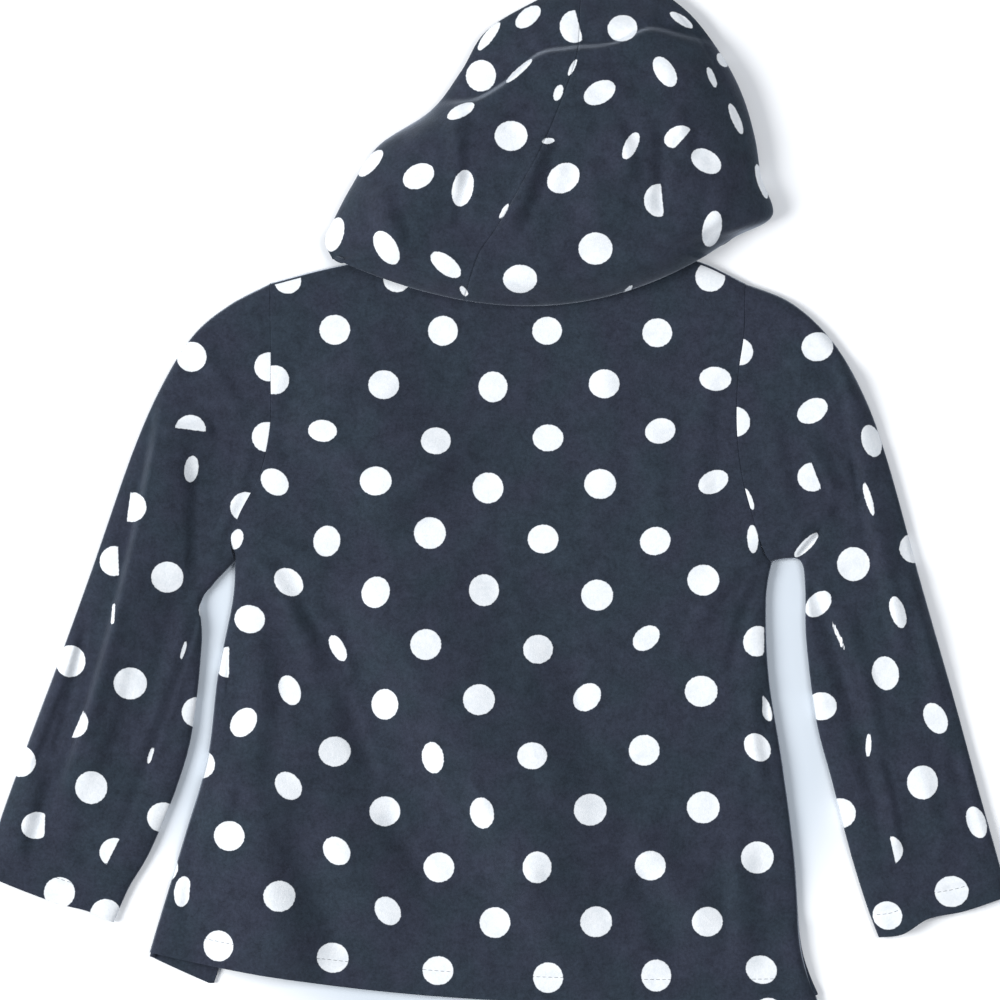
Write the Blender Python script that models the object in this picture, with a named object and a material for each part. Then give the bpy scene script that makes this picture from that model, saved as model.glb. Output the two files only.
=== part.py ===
"""Baby fleece hoodie, laid out flat with its back up.

Frame: metres, +X to the garment's right, +Y towards the hood, +Z up.  The cloth
rests on z = 0 and the origin lies on that plane, under the middle of the body.

Every piece is a wall of fleece.  The body is two panels that meet along rolled
side seams, each sleeve is one flattened tube, and the hood is two halves that
meet along the centre-back seam.  The hood stands hollow on its face opening and
bulges over the back neckline.
"""
from collections import namedtuple
from math import cos, pi, sin, sqrt

import bmesh
import bpy
from mathutils import Vector

# Driving dimensions, in millimetres.
MM = 0.001
CLOTH = 2.0             # thickness of the fleece
SEAM_GAP = 0.3          # between neighbouring pieces
LAID_HEIGHT = 6.4       # body and sleeves, two layers and the air between them
FOLD_LEVEL = 3.2        # height of the rolled side edges
TOP_ROLL = 9.0          # width over which an upper layer rounds off at an edge
LOW_ROLL = 4.0          # the same for a lower layer
SHOULDER_ROLL = 11.0    # the same along the shoulder seams
ARMPIT_BLEND = 14.0     # length over which a rolled side turns into an open armhole

NECK_LEFT = -45.0       # the neck opening, between the shoulder seams
NECK_RIGHT = 58.0
NECK_BLEND = 12.0

BODY_BOW_SKEW = -0.25   # lines across the body hang lowest left of their middle
FRONT_HEM_LIFT = 4.0    # the front hem lies this much inside the back hem
FRONT_EDGE_DROP = 2.0   # but its left corner peeks out below, from the side seam
FRONT_TIP_DROP = 9.5    # to a tip
FRONT_TIP_X = -143.2
FRONT_TIP_WIDTH = 4.0   # past the tip it slips back under

HOOD_LEVEL = 7.0        # height of the hood's rolled outer edge above its base
HOOD_SIDE_ROLL = 44.0   # the dome's shoulder, inwards from the outline
HOOD_END_ROLL = 22.0    # the same at the bottom fold and at the crown
HOOD_SLACK = 1.4        # above 1 the dome rises more gently from its outline
HOOD_LOW_ROLL = 6.0     # turn of the edge under the hood
HOOD_ON_BACK = 6.9      # base of the hood where it lies on the back panel
HOOD_STEP_START = 1.0   # past the shoulder line the hood's base drops to the floor
HOOD_STEP_END = 5.0
HOOD_BOW_SKEW = 0.12    # the bottom fold hangs lower to the right of its middle
HOOD_EDGE_BLEND = 26.0  # the under layer's rows join the outline over this width
HOOD_CORNER_RISE = 0.35  # slope of the underside past the ends of the bottom fold
LOBE_STEP = 7.0         # drop from the front lobe to the rear band at the crown
LOBE_WIDTH = 9.0

# Grid sizes.
BODY_COLUMNS = 20
BODY_LOWER_ROWS = 12
TIP_CLEARANCE = 0.02    # share of the hem's width that the corner's tip keeps to itself
SLEEVE_ROWS_MADE = 17
HOOD_COLUMNS = 10
HOOD_ROWS_MADE = 19
SAME_POINT = 1e-7       # in metres, where two rows of a grid meet in one point

# The body from the hem to the armpits: both ends of a line across it, and how far
# the line's middle hangs towards the hem.
BodyRow = namedtuple("BodyRow", "left_x left_y right_x right_y bow")
BODY_ROWS = (
    BodyRow(-175.0, -226.0, 159.0, -251.0, -11.0),
    BodyRow(-170.0, -209.0, 150.5, -224.0, -8.5),
    BodyRow(-157.5, -168.0, 147.0, -178.0, -4.0),
    BodyRow(-146.0, -128.0, 141.5, -134.0, 0.0),
    BodyRow(-141.0, -88.0, 134.5, -89.0, 0.0),
    BodyRow(-133.5, -50.0, 133.0, -50.0, 0.0),
    BodyRow(-132.5, -31.0, 136.0, -31.0, 0.0),
)

# The armhole seams, from the armpits to the shoulder tips.
ArmholePoint = namedtuple("ArmholePoint", "y left_x right_x")
ARMHOLE = (
    ArmholePoint(-31.0, -132.5, 136.0),
    ArmholePoint(-28.0, -132.6, 133.2),
    ArmholePoint(-20.0, -132.6, 130.2),
    ArmholePoint(-8.0, -129.8, 127.0),
    ArmholePoint(12.0, -121.0, 121.8),
    ArmholePoint(36.0, -115.0, 118.3),
    ArmholePoint(62.0, -114.5, 119.0),
    ArmholePoint(84.0, -114.6, 122.0),
    ArmholePoint(97.0, -114.8, 122.3),
    ArmholePoint(104.5, -115.0, 122.5),
    ArmholePoint(108.0, -115.0, 122.5),
)
YOKE_ROW = 6            # armhole point from which rows bend towards the shoulders

# The shoulder seams and the back neckline between them.
ShoulderPoint = namedtuple("ShoulderPoint", "x y")
SHOULDER = (
    ShoulderPoint(-116.0, 108.0),
    ShoulderPoint(-85.0, 116.0),
    ShoulderPoint(-50.0, 122.0),
    ShoulderPoint(5.0, 119.5),
    ShoulderPoint(62.0, 123.5),
    ShoulderPoint(100.0, 119.0),
    ShoulderPoint(123.0, 108.0),
)

# Each sleeve from its armhole to its cuff: both ends of a line across it.
SleeveRow = namedtuple("SleeveRow", "outer_x outer_y inner_x inner_y")
LEFT_SLEEVE = (
    SleeveRow(-115.0, 108.0, -132.5, -31.0),
    SleeveRow(-135.0, 97.5, -137.0, -35.5),
    SleeveRow(-153.0, 82.5, -143.5, -42.5),
    SleeveRow(-168.5, 58.0, -149.5, -52.0),
    SleeveRow(-183.5, 24.0, -149.0, -72.0),
    SleeveRow(-204.0, -35.0, -153.5, -114.0),
    SleeveRow(-221.0, -82.0, -161.0, -142.0),
    SleeveRow(-239.0, -130.0, -174.5, -175.0),
    SleeveRow(-251.0, -164.0, -185.5, -194.0),
    SleeveRow(-257.0, -187.5, -193.0, -211.0),
)
RIGHT_SLEEVE = (
    SleeveRow(122.5, 108.0, 136.0, -31.0),
    SleeveRow(145.5, 98.5, 143.0, -29.5),
    SleeveRow(165.5, 80.0, 150.5, -31.0),
    SleeveRow(181.0, 54.0, 152.5, -44.0),
    SleeveRow(193.5, 20.0, 153.0, -70.0),
    SleeveRow(210.5, -42.0, 158.0, -110.0),
    SleeveRow(226.5, -98.0, 166.0, -141.0),
    SleeveRow(239.5, -146.0, 175.0, -176.0),
    SleeveRow(248.5, -178.0, 183.0, -202.0),
    SleeveRow(254.0, -198.0, 189.0, -218.0),
)
ARMHOLE_INFLUENCE = 0.4  # share of the sleeve whose rows still follow the armhole

# The hood from its bottom fold to its crown: both ends of a line across it, its
# bow, where the centre-back seam crosses it and the dome's height there.
HoodRow = namedtuple("HoodRow", "left_x left_y right_x right_y bow seam_x height")
HOOD_ROWS = (
    HoodRow(-84.0, 121.0, 101.5, 121.2, -24.3, -18.0, 24.0),
    HoodRow(-87.5, 130.0, 117.5, 131.4, -10.0, -11.0, 27.0),
    HoodRow(-82.5, 141.0, 136.0, 142.0, -7.0, -2.0, 29.0),
    HoodRow(-74.0, 157.0, 130.5, 161.0, -3.0, 10.0, 30.0),
    HoodRow(-60.5, 177.0, 127.5, 180.0, 0.0, 22.0, 30.0),
    HoodRow(-34.5, 194.5, 121.5, 201.0, 3.0, 31.0, 29.0),
    HoodRow(-19.5, 214.0, 112.0, 220.0, 6.0, 38.5, 26.0),
    HoodRow(-6.0, 235.0, 96.5, 241.0, 8.0, 40.0, 21.0),
    HoodRow(23.0, 252.0, 80.0, 254.5, 7.0, 41.0, 16.0),
)

# The hood's under layer, row by row: its way from the bottom fold to the neckline,
# how far it lies past the neckline, and how much of the width between the outline
# and the centre seam it covers.  Past these rows it is the edge of the face opening.
UnderRow = namedtuple("UnderRow", "to_neck past_neck lip")
UNDER_ROWS = (
    UnderRow(0.0, 0.0, 1.0),
    UnderRow(0.06, 0.0, 1.0),
    UnderRow(0.25, 0.0, 1.0),
    UnderRow(0.55, 0.0, 1.0),
    UnderRow(0.94, 0.0, 1.0),
    UnderRow(1.0, 1.0, 0.5),
    UnderRow(1.0, 5.2, 0.5),
    UnderRow(1.0, 8.0, 0.84),
)
FACE_EDGE = (0.72, 0.56, 0.46, 0.42, 0.44, 0.52, 0.7, 0.97, 1.0, 1.0, 1.0)

# The edge of the hood's front lobe, where it overlaps the band behind it.
LobePoint = namedtuple("LobePoint", "x y")
LOBE = (
    LobePoint(-60.0, 193.0),
    LobePoint(-30.0, 196.5),
    LobePoint(1.0, 205.0),
    LobePoint(20.0, 220.5),
    LobePoint(58.0, 226.0),
    LobePoint(80.0, 233.0),
    LobePoint(130.0, 222.0),
)

# The largest folds: three points of each crest, the width of its slope on either
# side as seen walking along it, and its rise.
Fold = namedtuple("Fold", "piece x1 y1 x2 y2 x3 y3 left_width right_width rise")
FOLDS = (
    Fold("back_panel", -68.0, -26.0, -28.0, -112.0, 46.0, -230.0, 50.0, 22.0, 4.6),
    Fold("back_panel", -122.0, -128.0, -124.0, -186.0, -104.0, -246.0, 30.0, 40.0, 3.2),
    Fold("left_sleeve", -166.0, 62.0, -188.5, -50.0, -224.5, -166.0, 32.0, 9.0, 2.4),
    Fold("right_sleeve", 182.5, 4.0, 191.0, -28.0, 203.0, -84.0, 12.0, 12.0, 1.8),
    Fold("hood", 21.0, 182.0, 10.0, 158.0, -2.0, 132.0, 12.0, 14.0, 4.0),
    Fold("hood", -28.0, 186.0, -24.0, 162.0, -20.0, 138.0, 11.0, 16.0, 3.0),
    Fold("hood", 66.0, 184.0, 76.0, 162.0, 79.0, 140.0, 12.0, 12.0, -3.0),
    Fold("hood", -62.0, 133.0, 10.0, 117.0, 92.0, 132.0, 12.0, 10.0, 1.5),
)
FOLD_SAMPLES = 12
FOLD_END_FADE = 0.18

FLEECE_COLOUR = (0.034, 0.048, 0.072)
FLEECE_ROUGHNESS = 0.95


def mix(first, second, share):
    return first + (second - first) * share


def ease(share):
    share = min(max(share, 0.0), 1.0)
    return share * share * (3.0 - 2.0 * share)


def rounded(distance, width):
    """Height share of a rolled edge: 0 on the edge, 1 from its width inwards."""
    away = 1.0 - min(max(distance / width, 0.0), 1.0)
    return sqrt(1.0 - away * away)


def edge_shares(count):
    """Shares from 0 to 1 that lie closer together near both ends."""
    return [0.5 - 0.5 * cos(pi * index / count) for index in range(count + 1)]


def table_at(table, share):
    """Row of a table at a share of its length, on a smooth curve through its rows."""
    place = share * (len(table) - 1)
    index = min(int(place), len(table) - 2)
    t = place - index
    before = table[max(index - 1, 0)]
    after = table[min(index + 2, len(table) - 1)]
    values = []
    for p0, p1, p2, p3 in zip(before, table[index], table[index + 1], after):
        slope_1 = (p2 - p0) / 2.0
        slope_2 = (p3 - p1) / 2.0
        cubic = 2.0 * p1 - 2.0 * p2 + slope_1 + slope_2
        square = 3.0 * p2 - 3.0 * p1 - 2.0 * slope_1 - slope_2
        values.append(((cubic * t + square) * t + slope_1) * t + p1)
    return type(table[0])(*values)


def height_on(line, x):
    """y of a line of (x, y) points, at x."""
    for first, second in zip(line, line[1:]):
        if x <= second.x:
            break
    return mix(first.y, second.y, (x - first.x) / (second.x - first.x))


def fold_crest(fold):
    """Points along a fold, on the parabola through its three points."""
    crest = []
    for index in range(FOLD_SAMPLES + 1):
        t = index / FOLD_SAMPLES
        first = (1.0 - t) * (1.0 - 2.0 * t)
        middle = 4.0 * t * (1.0 - t)
        last = t * (2.0 * t - 1.0)
        crest.append(Vector((first * fold.x1 + middle * fold.x2 + last * fold.x3,
                             first * fold.y1 + middle * fold.y2 + last * fold.y3)))
    return crest


CRESTS = [(fold, fold_crest(fold)) for fold in FOLDS]


def fold_rise(piece, x, y):
    """How far the folds of a piece lift its upper layer at a place."""
    here = Vector((x, y))
    total = 0.0
    for fold, crest in CRESTS:
        if fold.piece != piece:
            continue
        nearest = min(range(len(crest)), key=lambda k: (crest[k] - here).length)
        index = min(nearest, len(crest) - 2)
        along = (crest[index + 1] - crest[index]).normalized()
        offset = here - crest[index]
        side = along.x * offset.y - along.y * offset.x
        width = fold.left_width if side > 0.0 else fold.right_width
        run = (index + offset.dot(along) / (crest[1] - crest[0]).length) / FOLD_SAMPLES
        fade = ease(min(run, 1.0 - run) / FOLD_END_FADE)
        total += fold.rise * fade * ease(1.0 - abs(side) / width)
    return total


def cloth_wall(name, outer, inner, ring=False, closed_ends=False):
    """Closed wall between two grids of points, given row by row."""
    mesh = bmesh.new()
    skins = [[[mesh.verts.new(point * MM) for point in row] for row in skin]
             for skin in (outer, inner)]
    rows = len(outer)
    columns = len(outer[0])
    steps = [(column, (column + 1) % columns)
             for column in range(columns if ring else columns - 1)]
    for skin in skins:
        for row in range(rows - 1):
            for left, right in steps:
                mesh.faces.new((skin[row][left], skin[row][right],
                                skin[row + 1][right], skin[row + 1][left]))
    if not closed_ends:
        for row in (0, rows - 1):
            for left, right in steps:
                mesh.faces.new((skins[0][row][left], skins[0][row][right],
                                skins[1][row][right], skins[1][row][left]))
    if not ring:
        for column in (0, columns - 1):
            for row in range(rows - 1):
                mesh.faces.new((skins[0][row][column], skins[0][row + 1][column],
                                skins[1][row + 1][column], skins[1][row][column]))
    bmesh.ops.remove_doubles(mesh, verts=mesh.verts, dist=SAME_POINT)
    bmesh.ops.triangulate(mesh, faces=mesh.faces)
    bmesh.ops.recalc_face_normals(mesh, faces=mesh.faces)
    data = bpy.data.meshes.new(name)
    mesh.to_mesh(data)
    mesh.free()
    data.shade_smooth()
    piece = bpy.data.objects.new(name, data)
    bpy.context.scene.collection.objects.link(piece)
    data.materials.append(fleece(name))
    return piece


def fleece(name):
    """Dark slate-blue fleece, dull and dense."""
    material = bpy.data.materials.new(name + "_fleece")
    material.use_nodes = True
    shader = material.node_tree.nodes["Principled BSDF"]
    shader.inputs["Base Color"].default_value = (*FLEECE_COLOUR, 1.0)
    shader.inputs["Roughness"].default_value = FLEECE_ROUGHNESS
    shader.inputs["Metallic"].default_value = 0.0
    return material


def laid_height(upper, depth, share, rise=0.0, gap=0.0):
    """Height of a laid layer's skin, depth inside its outer skin.

    share is 0 on a rolled edge, where the upper and the lower layer meet at the
    fold level, and 1 away from it.
    """
    if upper:
        level = FOLD_LEVEL + gap
        return mix(level, LAID_HEIGHT + rise - depth, share)
    level = FOLD_LEVEL - gap
    return mix(level, depth, share)


def neck_share(x):
    """1 across the neck opening, 0 on the shoulder seams beside it."""
    return ease((x - NECK_LEFT) / NECK_BLEND + 1.0) * ease((NECK_RIGHT - x) / NECK_BLEND + 1.0)


def front_hem_shift(x):
    """How far the front hem lies above the back hem; below it at the left corner."""
    left = BODY_ROWS[0].left_x
    if x <= FRONT_TIP_X:
        return -mix(FRONT_EDGE_DROP, FRONT_TIP_DROP, (x - left) / (FRONT_TIP_X - left))
    return mix(-FRONT_TIP_DROP, FRONT_HEM_LIFT, min((x - FRONT_TIP_X) / FRONT_TIP_WIDTH, 1.0))


def body_shares():
    """Columns of the body, with two at the tip of the front panel's corner."""
    left = BODY_ROWS[0].left_x
    width = BODY_ROWS[0].right_x - left
    tip = (FRONT_TIP_X - left) / width
    shares = [share for share in edge_shares(BODY_COLUMNS) if abs(share - tip) > TIP_CLEARANCE]
    return sorted(shares + [tip, tip + FRONT_TIP_WIDTH / width])


def body_lines():
    """Lines across the body: ends, bow, share of side roll, share of shoulder bend."""
    lines = []
    for index in range(BODY_LOWER_ROWS):
        row = table_at(BODY_ROWS, index / BODY_LOWER_ROWS)
        lines.append((Vector((row.left_x, row.left_y)), Vector((row.right_x, row.right_y)),
                      row.bow, 1.0, 0.0))
    yoke = ARMHOLE[YOKE_ROW].y
    top = ARMHOLE[-1].y
    for point in ARMHOLE:
        roll = 1.0 - ease((point.y - ARMHOLE[0].y) / ARMPIT_BLEND)
        bend = max(0.0, (point.y - yoke) / (top - yoke))
        lines.append((Vector((point.left_x, point.y)), Vector((point.right_x, point.y)),
                      0.0, roll, bend))
    return lines


def body_skin(name, depth):
    """Grid of points on one skin of the back or front panel."""
    upper = name == "back_panel"
    yoke = ARMHOLE[YOKE_ROW].y
    skin = []
    for number, (left, right, bow, roll, bend) in enumerate(body_lines()):
        width = (right - left).length
        hem = 1.0 - min(number / (BODY_LOWER_ROWS / 2.0), 1.0)
        points = []
        for share in body_shares():
            across = 2.0 * share - 1.0
            spot = left.lerp(right, share)
            spot.y += bow * (1.0 - across * across) * (1.0 + BODY_BOW_SKEW * across)
            if not upper:
                spot.y += front_hem_shift(spot.x) * hem * hem
            closed = 1.0 - neck_share(spot.x)
            top = height_on(SHOULDER, spot.x)
            if bend > 0.0:
                spot.y = mix(yoke, top, bend)
            spot.x -= depth * across * roll
            spot.y -= depth * bend * closed
            side = min(share, 1.0 - share) * (width - 2.0 * depth)
            side_roll = (TOP_ROLL if upper else LOW_ROLL) - depth
            share_side = mix(1.0, rounded(side, side_roll), roll)
            share_top = 1.0
            if bend > 0.0:
                to_top = top - depth * closed - spot.y
                share_top = mix(1.0, rounded(to_top, SHOULDER_ROLL - depth), closed)
            rise = fold_rise(name, spot.x, spot.y)
            z = laid_height(upper, depth, share_side * share_top, rise, SEAM_GAP / 2.0)
            points.append(Vector((spot.x, spot.y, z)))
        skin.append(points)
    return skin


def sleeve_spot(table, armhole_x, row_share, column):
    """Place on the plan of a sleeve, column 0 on its outer edge."""
    count = len(ARMHOLE) - 1
    share = edge_shares(count)[column]
    row = table_at(table, row_share)
    spot = Vector((row.outer_x, row.outer_y)).lerp(Vector((row.inner_x, row.inner_y)), share)
    start = table[0]
    straight = Vector((start.outer_x, start.outer_y)).lerp(
        Vector((start.inner_x, start.inner_y)), share)
    seam = ARMHOLE[count - column]
    bend = Vector((armhole_x(seam), seam.y)) - straight
    fade = max(0.0, 1.0 - row_share / ARMHOLE_INFLUENCE)
    return spot + bend * fade * fade


def sleeve_skin(name, table, armhole_x, depth):
    """Rings of points round a sleeve, from its armhole to its cuff."""
    count = len(ARMHOLE) - 1
    shares = edge_shares(count)
    ring = [(column, True) for column in range(count + 1)]
    ring += [(column, False) for column in range(count - 1, 0, -1)]
    skin = []
    for index in range(SLEEVE_ROWS_MADE + 1):
        row_share = index / SLEEVE_ROWS_MADE
        outer = sleeve_spot(table, armhole_x, row_share, 0)
        inner = sleeve_spot(table, armhole_x, row_share, count)
        width = (inner - outer).length
        inwards = (inner - outer).normalized()
        points = []
        for column, upper in ring:
            share = shares[column]
            spot = sleeve_spot(table, armhole_x, row_share, column)
            spot += inwards * depth * (1.0 - 2.0 * share)
            side = min(share, 1.0 - share) * (width - 2.0 * depth)
            rolled = rounded(side, (TOP_ROLL if upper else LOW_ROLL) - depth)
            rise = fold_rise(name, spot.x, spot.y)
            z = laid_height(upper, depth, rolled, rise)
            points.append(Vector((spot.x, spot.y, z)))
        skin.append(points)
    return skin


def hood_base(x, y):
    """Level under the hood: the back panel, and past the shoulders the floor."""
    past = y - height_on(SHOULDER, x) - HOOD_STEP_START
    beside = max(SHOULDER[0].x - x, x - SHOULDER[-1].x, 0.0)
    drop = ease((past + beside) / (HOOD_STEP_END - HOOD_STEP_START))
    return HOOD_ON_BACK * (1.0 - drop)


def hood_spot(row_share, share, side):
    """Place on the plan of a hood half, share 0 on the seam and 1 on the outline."""
    row = table_at(HOOD_ROWS, row_share)
    edge_x = row.left_x if side < 0 else row.right_x
    x = mix(row.seam_x + side * SEAM_GAP / 2.0, edge_x, share)
    along = (x - row.left_x) / (row.right_x - row.left_x)
    across = 2.0 * along - 1.0
    sag = row.bow * (1.0 - across * across) * (1.0 + HOOD_BOW_SKEW * across)
    return Vector((x, mix(row.left_y, row.right_y, along) + sag))


def under_spot(number, row_shares, share, side):
    """Place on the plan of the hood's under layer, in the same rows and columns."""
    last = len(row_shares) - 1
    row_share = row_shares[number]
    outline = hood_spot(row_share, 1.0, side)
    if number in (0, last):
        return hood_spot(row_share, share, side)
    neck_row = len(UNDER_ROWS)
    lip = UNDER_ROWS[number].lip if number < neck_row else FACE_EDGE[number - neck_row]
    reach = 1.0 - (1.0 - share) * lip
    spot = hood_spot(row_share, reach, side)
    if number < neck_row:
        row = UNDER_ROWS[number]
        fold = hood_spot(0.0, reach, side)
        neck = height_on(SHOULDER, spot.x)
        beyond = max(0.0, side * (spot.x - hood_spot(0.0, 1.0, side).x))
        under_y = mix(fold.y, max(neck, fold.y), row.to_neck) + row.past_neck
        under_y += HOOD_CORNER_RISE * beyond
        spot.y = mix(outline.y, under_y, ease(abs(spot.x - outline.x) / HOOD_EDGE_BLEND))
    return spot


def hood_skin(side, depth):
    """Rows of points round a hood half: seam, outline, and back under to the lip."""
    row_shares = edge_shares(HOOD_ROWS_MADE - 1)
    columns = [sin(0.5 * pi * index / HOOD_COLUMNS) for index in range(HOOD_COLUMNS + 1)]
    skin = []
    for number, row_share in enumerate(row_shares):
        row = table_at(HOOD_ROWS, row_share)
        half = abs((row.left_x if side < 0 else row.right_x) - row.seam_x)
        points = []
        for upper in (True, False):
            for share in columns if upper else reversed(columns[:-1]):
                if upper:
                    spot = hood_spot(row_share, share, side)
                else:
                    spot = under_spot(number, row_shares, share, side)
                from_edge = abs(hood_spot(row_share, 1.0, side).x - spot.x)
                bottom = hood_spot(0.0, share, side)
                crown = hood_spot(1.0, share, side)
                length = (crown - bottom).length
                up = (crown - bottom).normalized()
                from_bottom = (spot - bottom).length
                from_crown = (crown - spot).length
                run = from_bottom / (from_bottom + from_crown)
                level = hood_base(spot.x, spot.y) + HOOD_LEVEL
                spot = spot + up * depth * (1.0 - 2.0 * run)
                spot.x -= side * depth * max(0.0, 1.0 - from_edge / half)
                ends = min(from_bottom, from_crown) * (1.0 - 2.0 * depth / length)
                sides = from_edge * (1.0 - depth / half)
                if upper:
                    roll = rounded(ends, HOOD_END_ROLL - depth)
                    roll *= rounded(sides, HOOD_SIDE_ROLL - depth)
                    roll = roll ** HOOD_SLACK
                    lobe = LOBE_STEP * ease((spot.y - height_on(LOBE, spot.x)) / LOBE_WIDTH)
                    top = row.height - lobe + fold_rise("hood", spot.x, spot.y) - depth
                else:
                    roll = rounded(ends, HOOD_LOW_ROLL - depth)
                    roll *= rounded(sides, HOOD_LOW_ROLL - depth)
                    top = level - HOOD_LEVEL + depth
                z = mix(level, top, roll)
                points.append(Vector((spot.x, spot.y, z)))
        skin.append(points)
    return skin


def make_body():
    for name in ("back_panel", "front_panel"):
        cloth_wall(name, body_skin(name, 0.0), body_skin(name, CLOTH))


def make_sleeves():
    sides = (
        ("left_sleeve", LEFT_SLEEVE, lambda point: point.left_x - SEAM_GAP),
        ("right_sleeve", RIGHT_SLEEVE, lambda point: point.right_x + SEAM_GAP),
    )
    for name, table, armhole_x in sides:
        outer = sleeve_skin(name, table, armhole_x, 0.0)
        inner = sleeve_skin(name, table, armhole_x, CLOTH)
        cloth_wall(name, outer, inner, ring=True)


def make_hood():
    for name, side in (("hood_left", -1), ("hood_right", 1)):
        cloth_wall(name, hood_skin(side, 0.0), hood_skin(side, CLOTH), closed_ends=True)


for item in list(bpy.data.objects):
    bpy.data.objects.remove(item, do_unlink=True)

make_body()
make_sleeves()
make_hood()
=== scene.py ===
"""Baby fleece hoodie, laid out flat with its back up: its cloth, its stitching and its stage.

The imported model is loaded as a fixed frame, and each cloth piece here stands for one of
its nodes.  Tables and lengths are in millimetres in the frame's own axes: +X to the
garment's right, +Y towards the hood, +Z up, the floor at z = 0.
"""

from collections import namedtuple
from math import cos, pi, radians, sin

import bmesh
import bpy
import numpy as np
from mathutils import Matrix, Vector


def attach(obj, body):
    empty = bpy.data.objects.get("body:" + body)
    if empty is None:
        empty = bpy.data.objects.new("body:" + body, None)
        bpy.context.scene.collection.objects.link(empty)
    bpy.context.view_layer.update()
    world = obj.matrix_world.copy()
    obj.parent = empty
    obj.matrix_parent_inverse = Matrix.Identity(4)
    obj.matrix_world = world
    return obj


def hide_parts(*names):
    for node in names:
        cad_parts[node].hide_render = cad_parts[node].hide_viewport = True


bl_info = {
    "name": "Baby Fleece Hoodie",
    "version": (1, 0, 0),
    "blender": (4, 5, 0),
    "location": "View3D > Sidebar > Hoodie",
    "description": "Builds the printed fleece pieces of a baby's hoodie on its fixed frame",
    "category": "Add Mesh",
}

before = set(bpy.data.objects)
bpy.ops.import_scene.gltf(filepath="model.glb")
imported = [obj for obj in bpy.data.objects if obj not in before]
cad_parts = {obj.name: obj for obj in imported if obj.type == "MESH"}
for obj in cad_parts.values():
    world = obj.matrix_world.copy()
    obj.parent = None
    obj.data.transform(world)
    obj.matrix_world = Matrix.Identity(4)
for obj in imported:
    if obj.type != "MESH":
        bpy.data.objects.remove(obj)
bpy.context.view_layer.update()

MM = 0.001

# Heights and edges of the laid cloth.
LAID_HEIGHT = 6.4        # body and sleeves, two layers and the air between them
FOLD_LEVEL = 3.2         # height of the rolled side edges
SEAM_GAP = 0.02          # between neighbouring pieces
TOP_ROLL = 9.0           # width over which an upper layer rounds off at an edge
LOW_ROLL = 4.0           # the same for a lower layer
SHOULDER_ROLL = 11.0     # the same along the shoulder seams
ARMPIT_BLEND = 14.0      # length over which a rolled side turns into an open armhole
NECK_LEFT = -45.0        # the neck opening, between the shoulder seams
NECK_RIGHT = 58.0
NECK_BLEND = 12.0
HOOD_COVER_Y = 90.0      # from here the hood lies on the back and presses it even
HOOD_COVER_BLEND = 14.0
SEAM_DIP = 0.08          # the cloth dips where it is sewn to its neighbour
SEAM_DIP_WIDTH = 3.5
SEAM_CALM = 12.0         # folds die away over this width before an armhole seam
FOLD_HEIGHT = 1.25       # the folds stand this many times as high as their tables' rise
BODY_BOW_SKEW = -0.25
FRONT_HEM_LIFT = 4.0     # the front hem lies this much inside the back hem
FRONT_EDGE_DROP = 2.0    # but its left corner peeks out below, from the side seam
FRONT_TIP_DROP = 9.5     # to a tip
FRONT_TIP_X = -143.2
FRONT_TIP_WIDTH = 4.0

# The hood.
HOOD_LEVEL = 7.0         # height of its rolled outer edge above its base
HOOD_SIDE_ROLL = 44.0
HOOD_END_ROLL = 22.0
HOOD_SLACK = 1.4         # above 1 the dome rises more gently from its outline
HOOD_LOW_ROLL = 6.0
HOOD_ON_BACK = 6.9       # its base where it lies on the back panel
HOOD_STEP_START = 1.0    # past the shoulder line its base drops to the floor
HOOD_STEP_END = 5.0
HOOD_BOW_SKEW = 0.12
HOOD_EDGE_BLEND = 40.0
HOOD_CORNER_RISE = 0.35
HOOD_ROW_ORDER = 0.15    # rows of the under layer stay at least this far apart
LOBE_STEP = 7.0          # drop from the front lobe to the rear band at the crown
LOBE_WIDTH = 4.0
LOBE_RIM = 0.7           # the lobe's own sewn edge stands up a little
LOBE_RIM_WIDTH = 3.6
HOOD_TABLE_STEPS = 18    # rows that the under layer's tables count

# The print: round dots on an even diagonal repeat, charted below where they show.
DOT_SIZE = 15.0
DOT_REPEAT = 54.1        # from a dot to the next one straight across
PRINT_FADE = 9.0         # how deep the dots' measure runs outside them
PRINT_MARGIN = DOT_REPEAT / 3.0  # the hidden layers' repeat keeps this clear of their edges

# The body from the hem to the armpits: both ends of a line across it, and how far
# the line's middle hangs towards the hem.
BodyRow = namedtuple("BodyRow", "left_x left_y right_x right_y bow")
BODY_ROWS = (
    BodyRow(-175, -226, 159, -251, -11),
    BodyRow(-170, -209, 150.5, -224, -8.5),
    BodyRow(-157.5, -168, 147, -178, -4),
    BodyRow(-146, -128, 141.5, -134, 0),
    BodyRow(-141, -88, 134.5, -89, 0),
    BodyRow(-133.5, -50, 133, -50, 0),
    BodyRow(-132.5, -31, 136, -31, 0),
)

# The armhole seams, from the armpits to the shoulder tips.
ArmholePoint = namedtuple("ArmholePoint", "y left_x right_x")
ARMHOLE = (
    ArmholePoint(-31, -132.5, 136),
    ArmholePoint(-28, -133.2, 133),
    ArmholePoint(-20, -134.6, 129.8),
    ArmholePoint(-8, -130.6, 126.2),
    ArmholePoint(12, -120.4, 121),
    ArmholePoint(36, -115, 118.3),
    ArmholePoint(62, -114.5, 119),
    ArmholePoint(84, -114.6, 122),
    ArmholePoint(97, -114.8, 122.3),
    ArmholePoint(104.5, -115, 122.5),
    ArmholePoint(108, -115, 122.5),
)
YOKE_Y = 62.0            # above this the rows bend towards the shoulders

# The shoulder seams and the back neckline between them.
LinePoint = namedtuple("LinePoint", "x y")
SHOULDER = (
    LinePoint(-116, 108),
    LinePoint(-85, 116),
    LinePoint(-50, 122),
    LinePoint(5, 119.5),
    LinePoint(62, 123.5),
    LinePoint(100, 119),
    LinePoint(123, 108),
)

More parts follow.
